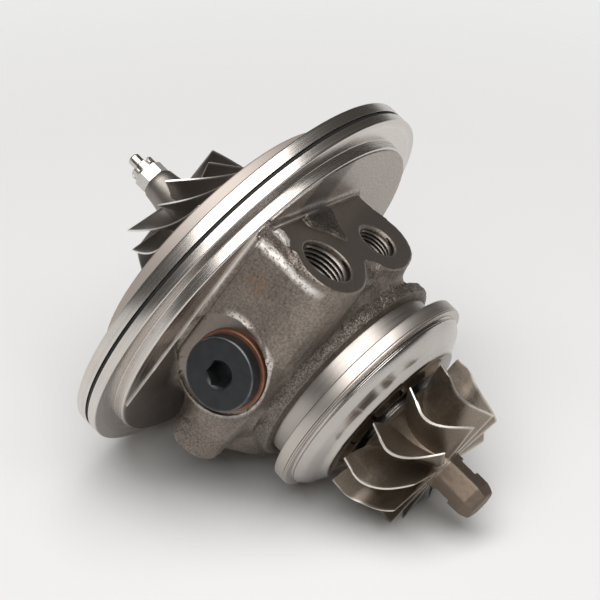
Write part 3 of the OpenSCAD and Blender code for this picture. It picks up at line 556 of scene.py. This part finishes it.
# Turned grey iron: bright, almost a mirror along the shaft, with the fine rings of the tool; the spigot is dull.
# The real feed marks are about 0.1 mm apart; they are drawn at 0.35 mm so that they show.
turned_iron, tree, shader, place = material("turned_iron", Metallic=1.0, Anisotropic=0.3)
radius, ring_place = ring_places(tree, place)
rings = lumps(tree, ring_place, 0.35, 2.0)
wide_rings = lumps(tree, ring_place, 1.4, 3.0)
stains = lumps(tree, place, 14, 5.0)
dull = zone_value(tree, "dull")
steel_tone = mixed(tree, stains, tone("#c9c2bb"), tone("#dfdad5"))
ring_tone = ranged(tree, wide_rings, 0.3, 0.7, 0.86, 1.05)
steel_tone = mixed(tree, 1.0, steel_tone, ring_tone, "MULTIPLY")
hot = zone_value(tree, "hot")
hot = ranged(tree, hot, low=1.0, high=0.58)
steel_tone = mixed(tree, 1.0, steel_tone, hot, "MULTIPLY")
steel_tone = mixed(tree, dull, steel_tone, tone("#c2b8b1"))
tree.links.new(steel_tone, shader.inputs["Base Color"])
gloss = ranged(tree, rings, 0.3, 0.7, 0.21, 0.3)
gloss = between(tree, dull, gloss, 0.62)
tree.links.new(gloss, shader.inputs["Roughness"])
turned_sheen(tree, shader)
set_bump(tree, shader, rings, 0.015, 0.0001)

flange_line = rounded([
    (-12.6, 17.0), (-12.6, 25.6, 0.3), (-14.2, 25.6, 0.2), (-14.2, 39.8, 0.5), (-6.8, 39.8, 0.4),
    (-6.8, 56.0, 0.5), (-3.6, 56.0, 0.05), (-3.6, 54.8), (-2.6, 54.8), (-2.6, 56.0, 0.05), (0.0, 56.0, 0.4),
    (0.0, 49.4, 0.3), (WEB_X, 49.4, 0.6), (WEB_X, 17.0),
])
points, faces = turned(flange_line)
flange = mesh_piece("compressor_flange_disc", points, faces, 40)
flange.data.materials.append(turned_iron)
set_zone(flange, "dull", (points[:, 0] < -6.0) & (np.hypot(points[:, 1], points[:, 2]) < 45.0))
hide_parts("bearing_housing")
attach(flange, "housing")

# Neck and turbine flange: the hot end of the same casting, turned bright, with a fine line at each edge.
# Heat has dulled the neck more than the flange.
neck_line = rounded([
    (32.6, 10.0), (32.6, 25.2), (33.6, 26.0, 0.2), (38.2, 26.0, 0.1), (38.4, 25.7), (38.6, 26.0),
    (38.6, 30.7, 0.45), (41.6, 30.7, 0.05), (41.75, 30.4), (41.9, 30.7, 0.05), (42.15, 30.7, 0.05),
    (42.3, 30.4), (42.45, 30.6, 0.05), (42.6, 30.5), (42.6, 22.0), (47.0, 16.4), (47.0, 10.0),
])
points, faces = turned(neck_line)
neck = mesh_piece("turbine_flange_neck", points, faces, 40)
neck.data.materials.append(turned_iron)
on_neck = points[:, 0] < 38.5
set_zone(neck, "dull", np.where(on_neck, 0.3, 0.32))
set_zone(neck, "hot", np.where(on_neck, 1.0, 0.3))
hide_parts("bearing_housing")
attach(neck, "housing")


# Threads of the open ports: metric fine threads cut by a tap, light on their crests, with painted shade in their
# roots.
# Their first and last turns run out into the wall of the port.
def thread(major, minor, pitch, length, count=96):
    """Points and faces of an inside thread along +X from nothing, cut from a minor to a major radius."""
    steps = int(length / pitch * count)
    profile = [(0.0, major), (0.42, minor), (0.58, minor), (1.0, major)]
    points, painted_crest_lights = [], []
    for k in range(steps + 1):
        turn = k * 2 * np.pi / count
        grown = min(1.0, k / count, (steps - k) / count)
        for share, crest_r in profile:
            radius = major + (crest_r - major) * grown
            painted_crest_lights.append((major - radius) / (major - minor))
            points.append(((k / count + share) * pitch, radius * math.cos(turn), radius * math.sin(turn)))
    n = len(profile)
    faces = [
        (k * n + j, (k + 1) * n + j, (k + 1) * n + j + 1, k * n + j + 1)
        for k in range(steps) for j in range(n - 1)
    ]
    return np.array(points), faces, painted_crest_lights


# Tapped iron: cleaner and brighter than the cast skin, with the tap's marks, and painted shade darkening the
# thread roots.
tapped_iron, tree, shader, place = material("tapped_iron", Metallic=1.0)
marks = lumps(tree, place, 0.7, 3.0)
thread_tone = mixed(tree, marks, tone("#a39b94"), tone("#d0c9c2"))
painted_crest_light = zone_value(tree, "painted_crest_light")
painted_crest_light = ranged(tree, painted_crest_light, 0.2, 0.9)
# Painted shade: the colour goes near black towards the roots of the thread
thread_tone = mixed(tree, painted_crest_light, tone("#443e39"), thread_tone)
tree.links.new(thread_tone, shader.inputs["Base Color"])
gloss = ranged(tree, marks, low=0.28, high=0.45)
tree.links.new(gloss, shader.inputs["Roughness"])
set_bump(tree, shader, marks, 0.15, 0.0001)

ports = (
    ("coolant_inlet_thread", (PORT_X, COOLANT_Y, PAD_Z - 0.25), (0, 0, -1), 6.92, 6.1, 1.25, 12.0),
    ("oil_inlet_thread", (PORT_X, 0.0, PAD_Z - 0.25), (0, 0, -1), 5.02, 4.35, 1.0, 9.0),
    ("coolant_outlet_thread", (PORT_X, -SPOT_Y - 0.5, PLUG_Z), (0, -1, 0), 7.02, 6.1, 1.5, 12.0),
)
for name, mouth, inward, major, minor, pitch, length in ports:
    points, faces, painted_crest_lights = thread(major, minor, pitch, length)
    turn = np.array(Vector((1, 0, 0)).rotation_difference(Vector(inward)).to_matrix())
    piece = mesh_piece(name, points @ turn.T + np.array(mouth), [f[::-1] for f in faces], 50)
    piece.data.materials.append(tapped_iron)
    set_zone(piece, "painted_crest_light", painted_crest_lights)
    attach(piece, "housing")

# Seal ring of the flange: a black rubber cord in the rim's groove.
# It keeps its CAD shape, as the O-ring of the seal plate does, and only gets a finish.
def two_tone(tree, shader, pattern, dark, light, smooth, dull):
    """Two colours and two degrees of gloss over one pattern."""
    tree.links.new(mixed(tree, pattern, tone(dark), tone(light)), shader.inputs["Base Color"])
    tree.links.new(ranged(tree, pattern, low=smooth, high=dull), shader.inputs["Roughness"])


def dress(nodes, finish):
    """A finish for pieces that keep their CAD shape."""
    for node in nodes:
        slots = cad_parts[node].data.materials
        slots.clear()
        slots.append(finish)


# Moulded nitrile rubber: near black, slightly dusty, a soft sheen and no grain to speak of.
rubber, tree, shader, place = material("nitrile_rubber", Metallic=0.0, IOR=1.5)
dust = lumps(tree, place, 1.5, 4.0)
two_tone(tree, shader, dust, "#0c0b0b", "#191817", 0.5, 0.75)
dress(("flange_seal_ring", "seal_plate_o_ring"), rubber)


# Plug of the side port: a turned screw plug with a hexagon socket, blackened against rust.
# It closes the coolant port that isn't in use.
def hexagon(y, z, flats):
    """Distance from a hexagon with a corner along +Z, given its width across flats."""
    half = flats / 2
    return np.maximum(np.abs(y), np.maximum(np.abs(0.5 * y + 0.866 * z), np.abs(0.5 * y - 0.866 * z))) - half


def plug_form(x, y, z):
    """The plug's head, with its rounded edge, its socket with a countersunk mouth, and its shank."""
    out = np.hypot(x - PORT_X, z - PLUG_Z)
    head = trim(out - 9.5, np.abs(y + 39.8) - 2.1, 0.9)
    shank = np.maximum(out - 6.9, np.maximum(-38.0 - y, y + 27.0))
    form = np.minimum(head, shank)
    socket = np.maximum(hexagon(x - PORT_X, z - PLUG_Z, 6.3), y + 36.9)
    mouth = (out - 3.85 + (y + 41.9)) * 0.707
    return np.maximum(form, -np.minimum(socket, np.maximum(mouth, y + 40.0)))


plug_step = 0.17
plug_points, plug_faces = skin(plug_form, (8.0, -42.8, -12.2), (28.4, -26.5, 8.2), plug_step)
# Black oxide on steel: blue-black, satin, a little worn to bare steel on the edge.
black_oxide, tree, shader, place = material("black_oxide_steel", Metallic=0.75)
wear_and_painted_highlight = lumps(tree, place, 2.5, 5.0)
oxide_tone = mixed(tree, wear_and_painted_highlight, tone("#2f3032"), tone("#424345"))
edge = zone_value(tree, "edge")
edge_wear = ranged(tree, wear_and_painted_highlight, 0.3, 0.6, 0.1, 0.6)
edge_wear = combined(tree, "MULTIPLY", edge, edge_wear)
oxide_tone = mixed(tree, edge_wear, oxide_tone, tone("#8b8f92"))
tree.links.new(oxide_tone, shader.inputs["Base Color"])
grain_fine = lumps(tree, place, 0.4, 2.0)
gloss = ranged(tree, grain_fine, low=0.36, high=0.52)
tree.links.new(gloss, shader.inputs["Roughness"])
set_bump(tree, shader, grain_fine, 0.08, 0.0001)
plug = mesh_piece("port_plug_screw", plug_points, plug_faces, 40)
plug.data.materials.append(black_oxide)
px, py, pz = plug_points.T
out = np.hypot(px - PORT_X, pz - PLUG_Z)
rim_edge = np.clip(1 - np.hypot(out - 9.3, py + 41.7) / 0.35, 0, 1)
set_zone(plug, "edge", rim_edge)
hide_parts("port_plug")
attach(plug, "housing")

# Sealing washer: a flat copper ring crushed between the plug and its spot face.
# Soft copper: orange-brown, tarnished in blotches, edge rubbed bright.
copper, tree, shader, place = material("annealed_copper", Metallic=0.8)
tarnish = lumps(tree, place, 2.0, 4.0)
two_tone(tree, shader, tarnish, "#734c39", "#9c7258", 0.42, 0.62)
washer_line = rounded([(-1.48, 7.05), (-1.48, 10.3, 0.5), (0.0, 10.3, 0.5), (0.0, 7.05)])
points, faces = turned(washer_line, 128)
washer_place = np.array([PORT_X, SPOT_Y, PLUG_Z])
washer = mesh_piece("copper_sealing_washer", points[:, [1, 0, 2]] + washer_place, faces[:, ::-1])
washer.data.materials.append(copper)
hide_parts("plug_washer")
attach(washer, "housing")

# Heat shield: a dished cup of stainless sheet, pressed and spun, clipped to the turbine flange.
# Pressed stainless: bright and smooth, with soft drawing marks and a straw tint from a first heat; its inner
# face behind the wheel is darkened with painted shade.
pressed, tree, shader, place = material("pressed_stainless", Metallic=1.0, Anisotropic=0.3)
radius, ring_place = ring_places(tree, place)
draws = lumps(tree, ring_place, 0.6, 3.0)
tint = lumps(tree, place, 12, 3.0)
sheet_tone = mixed(tree, tint, tone("#b0a9a4"), tone("#c8c4c0"))
# Painted shade on the inner face behind the turbine wheel: darker inside a radius of about 22 mm
painted_shade_inner_face = ranged(tree, radius, 0.0222, 0.0216)
sheet_tone = mixed(tree, painted_shade_inner_face, sheet_tone, tone("#6f655d"))
tree.links.new(sheet_tone, shader.inputs["Base Color"])
gloss = ranged(tree, draws, 0.3, 0.7, 0.15, 0.24)
tree.links.new(gloss, shader.inputs["Roughness"])
turned_sheen(tree, shader)
set_bump(tree, shader, draws, 0.06, 0.0001)
shield_line = rounded([
    (42.6, 28.7, 0.1), (43.2, 28.4, 0.2), (43.6, 28.7, 0.3), (45.4, 27.2, 1.0), (47.5, 23.1, 1.0),
    (48.8, 21.9, 0.3), (49.0, 21.0, 0.2), (49.1, 19.0, 0.4), (50.1, 17.0, 0.5), (50.1, 10.0), (49.3, 10.0),
    (49.3, 16.6, 0.4), (48.4, 18.6, 0.4), (48.2, 21.0, 0.3), (46.9, 22.4, 0.6), (44.8, 26.5, 0.6),
    (43.4, 27.7, 0.3), (42.6, 27.8),
])
shield = mesh_piece("heat_shield_cup", *turned(shield_line), 40)
shield.data.materials.append(pressed)
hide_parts("heat_shield")
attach(shield, "housing")


# Turbine wheel: an investment casting of nickel alloy, with eleven blades and a hexagon nose.
# The blade tips and the back are ground to size, and two notches in the nose balance it.
def along(curve, t):
    """Points on a cubic curve through four control points, for an array of shares t."""
    t = np.asarray(t)[..., None]
    a, b, c, d = (np.array(p, dtype=float) for p in curve)
    return (1 - t) ** 3 * a + 3 * t * (1 - t) ** 2 * b + 3 * t * t * (1 - t) * c + t ** 3 * d


def blades(count, first, root, tip, turn, thick, wide, hub_radius, blunt, start=0.0, across=48, up=20):
    """Points, faces and bright zone of a set of blades, with round front and rear edges and flat tips."""
    t = start + (1 - start) * (1 - np.cos(np.pi * np.arange(across + 1) / across)) / 2
    v = np.linspace(0, 1, up + 1)
    low, high = along(root, t), along(tip, t)
    place = low[:, None, :] + (high - low)[:, None, :] * v[None, :, None]
    x, r = place[..., 0], place[..., 1]
    half = (thick[0] + (thick[1] - thick[0]) * np.minimum(1, r / wide)) / 2
    half = half + 0.55 * np.exp(-np.maximum(r - hub_radius(x), 0) / 0.9)
    steps = np.linalg.norm(np.diff(place, axis=0), axis=2)
    from_front = np.concatenate([np.zeros((1, up + 1)), np.cumsum(steps, axis=0)])
    to_edge = np.minimum(from_front, from_front[-1:] - from_front)
    share = np.clip(to_edge / (1.2 * half), 0, 1)
    half = half * np.sqrt(np.clip(1 - (1 - share) ** 2, blunt, 1))
    middle = turn(t[:, None] + 0 * v[None, :], x)
    sides = [middle - np.degrees(half / r), middle + np.degrees(half / r)]
    n = (across + 1) * (up + 1)
    grid = np.arange(n).reshape(across + 1, up + 1)
    quads = []
    for flank, flip in ((0, False), (1, True)):
        g = grid + flank * n
        q = np.stack([g[:-1, :-1], g[1:, :-1], g[1:, 1:], g[:-1, 1:]], axis=-1).reshape(-1, 4)
        quads.append(q[:, ::-1] if flip else q)
    a, b = grid, grid + n
    quads.append(np.stack([a[:-1, -1], a[1:, -1], b[1:, -1], b[:-1, -1]], axis=-1))
    quads.append(np.stack([b[:-1, 0], b[1:, 0], a[1:, 0], a[:-1, 0]], axis=-1))
    quads.append(np.stack([a[0, :-1], a[0, 1:], b[0, 1:], b[0, :-1]], axis=-1))
    quads.append(np.stack([b[-1, :-1], b[-1, 1:], a[-1, 1:], a[-1, :-1]], axis=-1))
    quads = np.concatenate(quads)
    all_points, all_faces, zone = [], [], []
    for k in range(count):
        for side in sides:
            angle = np.radians(side + first + 360.0 * k / count)
            all_points.append(np.stack([x, r * np.cos(angle), r * np.sin(angle)], axis=-1).reshape(-1, 3))
            tip_zone = np.clip(1 - (1 - v[None, :]) * 40, 0, 1) + 0 * from_front
            front_zone = np.clip(1 - from_front / 0.3, 0, 1)
            rear_zone = 0.6 * np.clip(1 - (from_front[-1:] - from_front) / 0.3, 0, 1)
            zone.append(np.maximum(np.maximum(tip_zone, front_zone), rear_zone).reshape(-1))
        all_faces.append(quads + 2 * n * k)
    return np.concatenate(all_points), np.concatenate(all_faces), np.concatenate(zone)


def merged(*shapes):
    """Several (points, faces) as one."""
    points, faces, offset = [], [], 0
    for p, f in shapes:
        points.append(np.asarray(p, dtype=float))
        faces += [[int(i) + offset for i in face] for face in f]
        offset += len(p)
    return np.concatenate(points), faces


TURB_BACK, TURB_END, NOSE_END, NOSE_FLATS = 51.0, 68.2, 81.2, 9.6
BEND_X = TURB_BACK + 5.9
NOTCH_OUT, NOTCH_R = 7.44, 3.0
nose_r = NOSE_FLATS / 2 / math.cos(math.pi / 6)
turbine_hub = along(
    [(TURB_BACK + 1.4, 13.6), (TURB_BACK + 3.4, 8.6), (TURB_BACK + 9, nose_r + 0.6), (TURB_END, nose_r)],
    np.linspace(0, 1, 40),
)


def turbine_turn(share, x):
    """Angle of a turbine blade at a place along the shaft: leaning at first, bent back towards the outlet."""
    bent = np.clip((x - BEND_X) / (TURB_END - BEND_X), 0, 1)
    bent = 6 + 4.2 * np.sin(np.pi * bent) - 26 * bent ** 1.6
    return np.where(x < BEND_X, 6 * (x - TURB_BACK) / 5.9, bent)


turbine_points, turbine_faces, turbine_tips = blades(
    11, 161.5,
    [(TURB_BACK, 22.3), (TURB_BACK, 9), (TURB_BACK + 5, 4.2), (TURB_END - 0.4, 4.2)],
    [(BEND_X - 2.4, 22.3), (BEND_X + 1.2, 22.3), (BEND_X + 2.6, 19.9), (TURB_END, 19.0)],
    turbine_turn, (2.8, 0.7), 19.0,
    lambda x: np.interp(x, turbine_hub[:, 0], turbine_hub[:, 1]), 0.3,
)
hub_line = np.concatenate([
    [(50.6, 0.01), (50.6, 8.5), (TURB_BACK + 0.2, 13.0)], turbine_hub,
    [(TURB_END, nose_r - 0.6), (TURB_END, 0.01)],
])


def nose_form(x, y, z):
    """The hexagon nose, rounded as cast and drawn in at its end, with two ground notches."""
    drawn_in = np.clip((x - NOSE_END + 3.0) / 3.0, 0, 1)
    form = trim(hexagon(z, y, NOSE_FLATS - 2.1 * drawn_in), x - NOSE_END, 0.7)
    form = trim(form, np.hypot(y, z) - nose_r + 0.15, 0.3)
    for side in (1, -1):
        gap = np.hypot(y - side * NOTCH_OUT * 0.5, z - side * NOTCH_OUT * 0.866) - NOTCH_R
        gap = trim(gap, np.abs(x - TURB_END - 4.0) - 2.4, 0.4)
        form = trim(form, -gap, 0.25)
    return np.maximum(form + 0.05 * noise(x, y, z, 1.2), TURB_END - 1.0 - x)


nose_step = 0.16
nose_skin = skin(nose_form, (TURB_END - 1.6, -6.2, -6.2), (NOSE_END + 0.6, 6.2, 6.2), nose_step)
points, faces = merged((turbine_points, turbine_faces), turned(hub_line, 96, closed=False), nose_skin)
turbine = mesh_piece("turbine_wheel_casting", points, faces, 40)
# Investment cast nickel alloy: a dark bronze-brown oxide skin, grainy from the ceramic mould,
# rubbed bright only where the tips are ground.
nickel, tree, shader, place = material("investment_cast_nickel_alloy", Metallic=1.0)
heat = lumps(tree, place, 7, 4.0)
mould = lumps(tree, place, 0.5, 3.0)
alloy_tone = mixed(tree, heat, tone("#867b6f"), tone("#a79c8f"))
speck = ranged(tree, mould, 0.3, 0.7, 0.8, 1.12)
alloy_tone = mixed(tree, 1.0, alloy_tone, speck, "MULTIPLY")
ground = zone_value(tree, "ground")
alloy_tone = mixed(tree, ground, alloy_tone, tone("#e2dcd4"))
scaled = zone_value(tree, "scaled")
alloy_tone = mixed(tree, scaled, alloy_tone, tone("#75685c"))
tree.links.new(alloy_tone, shader.inputs["Base Color"])
gloss = ranged(tree, mould, 0.3, 0.7, 0.42, 0.56)
gloss = between(tree, scaled, gloss, 0.6)
tree.links.new(gloss, shader.inputs["Roughness"])
set_bump(tree, shader, mould, 0.12, 0.00015)
turbine.data.materials.append(nickel)
set_zone(turbine, "ground", np.concatenate([turbine_tips, np.zeros(len(points) - len(turbine_tips))]))
set_zone(turbine, "scaled", 0.85 * np.clip((points[:, 0] - TURB_END - 0.2) / 0.6, 0, 1))
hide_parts("turbine_wheel")
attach(turbine, "rotor")

# Compressor wheel: cast aluminium, six full blades and six half ones, machined on its tips and bore.
# The nut clamps it on the shaft, and it turns in the recess of the flange.
COMP_NOSE, WHEEL_BACK = -38.3, -13.1
INLET, OUTLET = COMP_NOSE + 6.9, WHEEL_BACK - 1.5
compressor_hub = along(
    [(COMP_NOSE + 0.8, 4.5), (COMP_NOSE + 14, 6.1), (WHEEL_BACK - 1.8, 11), (WHEEL_BACK - 1.5, 25.0)],
    np.linspace(0, 1, 48),
)
compressor_shapes, compressor_tips = [], []
for start, first in ((0.0, 85.0), (0.15, 115.0)):
    points, faces, tips = blades(
        6, first,
        [(INLET, 4.2), (INLET + 9, 5), (OUTLET + 0.5, 10), (OUTLET + 0.5, 24.8)],
        [(INLET, 17.4), (INLET + 7, 17.6), (OUTLET - 5, 19.8), (OUTLET - 4, 24.8)],
        lambda t, x: -62 * (1.25 * t - 0.25 * t * t), (1.8, 0.7), 17.4,
        lambda x: np.interp(x, compressor_hub[:, 0], compressor_hub[:, 1]), 0.15, start,
    )
    compressor_shapes.append((points, faces))
    compressor_tips.append(tips)
hub_line = np.concatenate([
    [(COMP_NOSE, 2.6), (COMP_NOSE, 4.0)], compressor_hub,
    [(WHEEL_BACK - 0.4, 25.0), (WHEEL_BACK, 19.0), (WHEEL_BACK, 2.6)],
])
points, faces = merged(*compressor_shapes, turned(hub_line, 128))
compressor = mesh_piece("compressor_wheel_casting", points, faces, 40)
# Plaster cast aluminium: light grey with a fine even grain, satin, bright along the machined tips.
wheel_alu, tree, shader, place = material("cast_aluminium", Metallic=1.0)
blend = lumps(tree, place, 6, 3.0)
fine = lumps(tree, place, 0.5, 2.0)
alu_tone = mixed(tree, blend, tone("#8c8580"), tone("#a29c96"))
tips = zone_value(tree, "ground")
alu_tone = mixed(tree, tips, alu_tone, tone("#ece8e4"))
tree.links.new(alu_tone, shader.inputs["Base Color"])
gloss = ranged(tree, fine, low=0.4, high=0.54)
tree.links.new(gloss, shader.inputs["Roughness"])
set_bump(tree, shader, fine, 0.1, 0.0001)
compressor.data.materials.append(wheel_alu)
compressor_tips = np.concatenate(compressor_tips)
hub_zone = np.zeros(len(points) - len(compressor_tips))
set_zone(compressor, "ground", np.concatenate([compressor_tips, hub_zone]))
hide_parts("compressor_wheel")
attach(compressor, "rotor")


# Lock nut on the shaft's stub: a small plated hexagon with a slotted round collar.
# It is tightened to a set torque against the compressor wheel.
def nut_form(x, y, z):
    """Hexagon with chamfered corners, and the collar in front of it with six slots."""
    turn = math.radians(18)
    y, z = y * math.cos(turn) + z * math.sin(turn), z * math.cos(turn) - y * math.sin(turn)
    out = np.hypot(y, z)
    from_middle = np.abs(x + 40.05)
    form = trim(hexagon(y, z, 7.4), from_middle - 1.75, 0.25)
    form = np.maximum(form, (out - 4.35 + from_middle - 1.75) * 0.707)
    collar = trim(out - 3.5, np.abs(x + 42.9) - 1.3, 0.5)
    for k in range(3):
        way = math.radians(60 * k)
        across = np.abs(y * math.cos(way) + z * math.sin(way)) - 0.7
        collar = trim(collar, -np.maximum(across, x + 42.5), 0.25)
    return np.maximum(np.minimum(form, collar), 2.45 - out)


# Zinc plated steel: silver, slightly blue, bright with soft scratches.
zinc, tree, shader, place = material("zinc_plated_steel", Metallic=1.0)
scratch = lumps(tree, place, 0.8, 4.0)
two_tone(tree, shader, scratch, "#b9b6b2", "#dddad6", 0.24, 0.42)
set_bump(tree, shader, scratch, 0.1, 0.0001)
nut_step = 0.13
nut_points, nut_faces = skin(nut_form, (-44.6, -4.8, -4.8), (-37.9, 4.8, 4.8), nut_step)
nut = mesh_piece("lock_nut_hexagon", nut_points, nut_faces, 40)
nut.data.materials.append(zinc)
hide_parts("lock_nut")
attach(nut, "rotor")

# Shaft, seal plate and the small inner pieces: turned steel, spring steel and bronze.
# They keep the shapes that the CAD gives them.
dress(("rotor_shaft", "seal_plate", "thrust_collar", "oil_flinger"), turned_iron)
# Spring steel: dark, oil-tempered, for the clips and piston rings.
spring, tree, shader, place = material("oil_tempered_spring_steel", Metallic=1.0)
temper = lumps(tree, place, 1.5, 3.0)
two_tone(tree, shader, temper, "#4b4845", "#69655f", 0.3, 0.5)
dress((
    "seal_plate_snap_ring", "bearing_snap_rings", "compressor_piston_ring", "turbine_piston_rings",
    "oil_deflector",
), spring)
# Bearing bronze: warm yellow-brown, finely turned.
bronze, tree, shader, place = material("bearing_bronze", Metallic=1.0)
patina = lumps(tree, place, 2.0, 3.0)
two_tone(tree, shader, patina, "#a5803f", "#c79f5d", 0.25, 0.4)
dress(("thrust_bearing", "compressor_journal_bearing", "turbine_journal_bearing"), bronze)

# Studio: a pale paper floor under the cartridge that fades into the backdrop,
# one large softbox overhead and dark flags round the set.
floor_up = Vector((-0.479, -0.255, 0.840)).normalized()
floor_foot = floor_up * -0.0493
FLOOR_REACH, FADE_START, FADE_END = 3.3, 0.16, 0.34
BACKDROP = tone("#ececec")
rows, count = [0.0, 0.25, 0.5, 1.0, FLOOR_REACH], 64
ways = [k * 2 * math.pi / count for k in range(count)]
ring_points = [(d * math.cos(way), d * math.sin(way), 0) for d in rows for way in ways]
ring_faces = [
    (i * count + k, (i + 1) * count + k, (i + 1) * count + (k + 1) % count, i * count + (k + 1) % count)
    for i in range(len(rows) - 1) for k in range(count)
]
floor = mesh_piece("paper_floor", np.array(ring_points) * 1000, ring_faces)
floor.matrix_world = Matrix.Translation(floor_foot) @ floor_up.to_track_quat("Z", "Y").to_matrix().to_4x4()


def seen_rays(tree):
    """1 for rays that bring a surface to the eye: straight, in a mirror or through glass."""
    path = add(tree, "ShaderNodeLightPath").outputs
    seen = combined(tree, "MAXIMUM", path["Is Camera Ray"], path["Is Glossy Ray"])
    return combined(tree, "MAXIMUM", seen, path["Is Transmission Ray"])


paper = bpy.data.materials.new("matt_paper")
paper.use_nodes = True
tree = paper.node_tree
tree.nodes.clear()
diffuse = add(tree, "ShaderNodeBsdfDiffuse", {"Color": BACKDROP}).outputs[0]
clear = add(tree, "ShaderNodeBsdfTransparent").outputs[0]
spot = add(tree, "ShaderNodeTexCoord").outputs["Object"]
far = add(tree, "ShaderNodeVectorMath", {0: spot}, operation="LENGTH").outputs[1]
fade = {0: far, 1: FADE_START, 2: FADE_END}
fade = add(tree, "ShaderNodeMapRange", fade, interpolation_type="SMOOTHSTEP").outputs[0]
behind = add(tree, "ShaderNodeNewGeometry").outputs["Backfacing"]
fade = combined(tree, "MAXIMUM", fade, behind)
seen = seen_rays(tree)
fade = combined(tree, "MULTIPLY", fade, seen)
surface = add(tree, "ShaderNodeMixShader", {0: fade, 1: diffuse, 2: clear}).outputs[0]
add(tree, "ShaderNodeOutputMaterial", {0: surface})
floor.data.materials.append(paper)

FLAGS_OUT = 3200
dome_points = []
rows, count = 12, 48
for i in range(rows + 1):
    rise = math.radians(1.0 + 89.0 * i / rows)
    for k in range(count):
        way = k * 2 * math.pi / count
        dome_points.append((math.cos(rise) * math.cos(way), math.cos(rise) * math.sin(way), math.sin(rise)))
dome_faces = [
    (i * count + k, i * count + (k + 1) % count, (i + 1) * count + (k + 1) % count, (i + 1) * count + k)
    for i in range(rows) for k in range(count)
]
flags = mesh_piece("dark_flags", np.array(dome_points) * FLAGS_OUT, dome_faces)
flags.matrix_world = floor.matrix_world.copy()
cloth = bpy.data.materials.new("dark_flag_cloth")
cloth.use_nodes = True
tree = cloth.node_tree
tree.nodes.clear()
gleam = add(tree, "ShaderNodeEmission", {"Color": tone("#45423f"), "Strength": 1.0}).outputs[0]
add(tree, "ShaderNodeOutputMaterial", {0: gleam})
flags.data.materials.append(cloth)
flags.visible_camera = False

SOFTBOX_OFF = 1.8
softbox = bpy.data.objects.new("softbox", bpy.data.lights.new("softbox", "AREA"))
softbox.data.shape = "RECTANGLE"
softbox.data.size, softbox.data.size_y = 2.2, 2.0
softbox.data.energy = 50.0
softbox.data.color = (1.0, 0.993, 0.982)
softbox_way = Vector((-0.23, -0.57, 0.82)).normalized()
softbox_turn = softbox_way.to_track_quat("Z", "Y").to_matrix().to_4x4()
softbox.matrix_world = Matrix.Translation(softbox_way * SOFTBOX_OFF) @ softbox_turn
softbox.visible_camera = False
bpy.context.scene.collection.objects.link(softbox)

world = bpy.data.worlds.new("pale_studio")
bpy.context.scene.world = world
world.use_nodes = True
tree = world.node_tree
tree.nodes.clear()
seen = seen_rays(tree)
strength = ranged(tree, seen, low=0.3, high=1.0)
sky = add(tree, "ShaderNodeBackground", {"Color": BACKDROP, "Strength": strength}).outputs[0]
add(tree, "ShaderNodeOutputWorld", {0: sky})

# Camera: above the plug side at the turbine end, tilted with the floor,
# because the cartridge lies on its flange rim.
camera = bpy.data.objects.new("camera", bpy.data.cameras.new("camera"))
right = Vector((0.6894, 0.4830, 0.5399))
down = Vector((0.6885, -0.2053, -0.6954))
ahead = Vector((-0.2251, 0.8512, -0.4741))
turn = Matrix((right, -down, -ahead)).transposed().to_4x4()
camera.matrix_world = Matrix.Translation((0.1607, -0.5633, 0.3190)) @ turn
camera.data.sensor_width = 36
camera.data.lens = 156
camera.data.clip_end = 10
bpy.context.scene.collection.objects.link(camera)
bpy.context.scene.camera = camera
bpy.context.scene.view_settings.view_transform = "Standard"
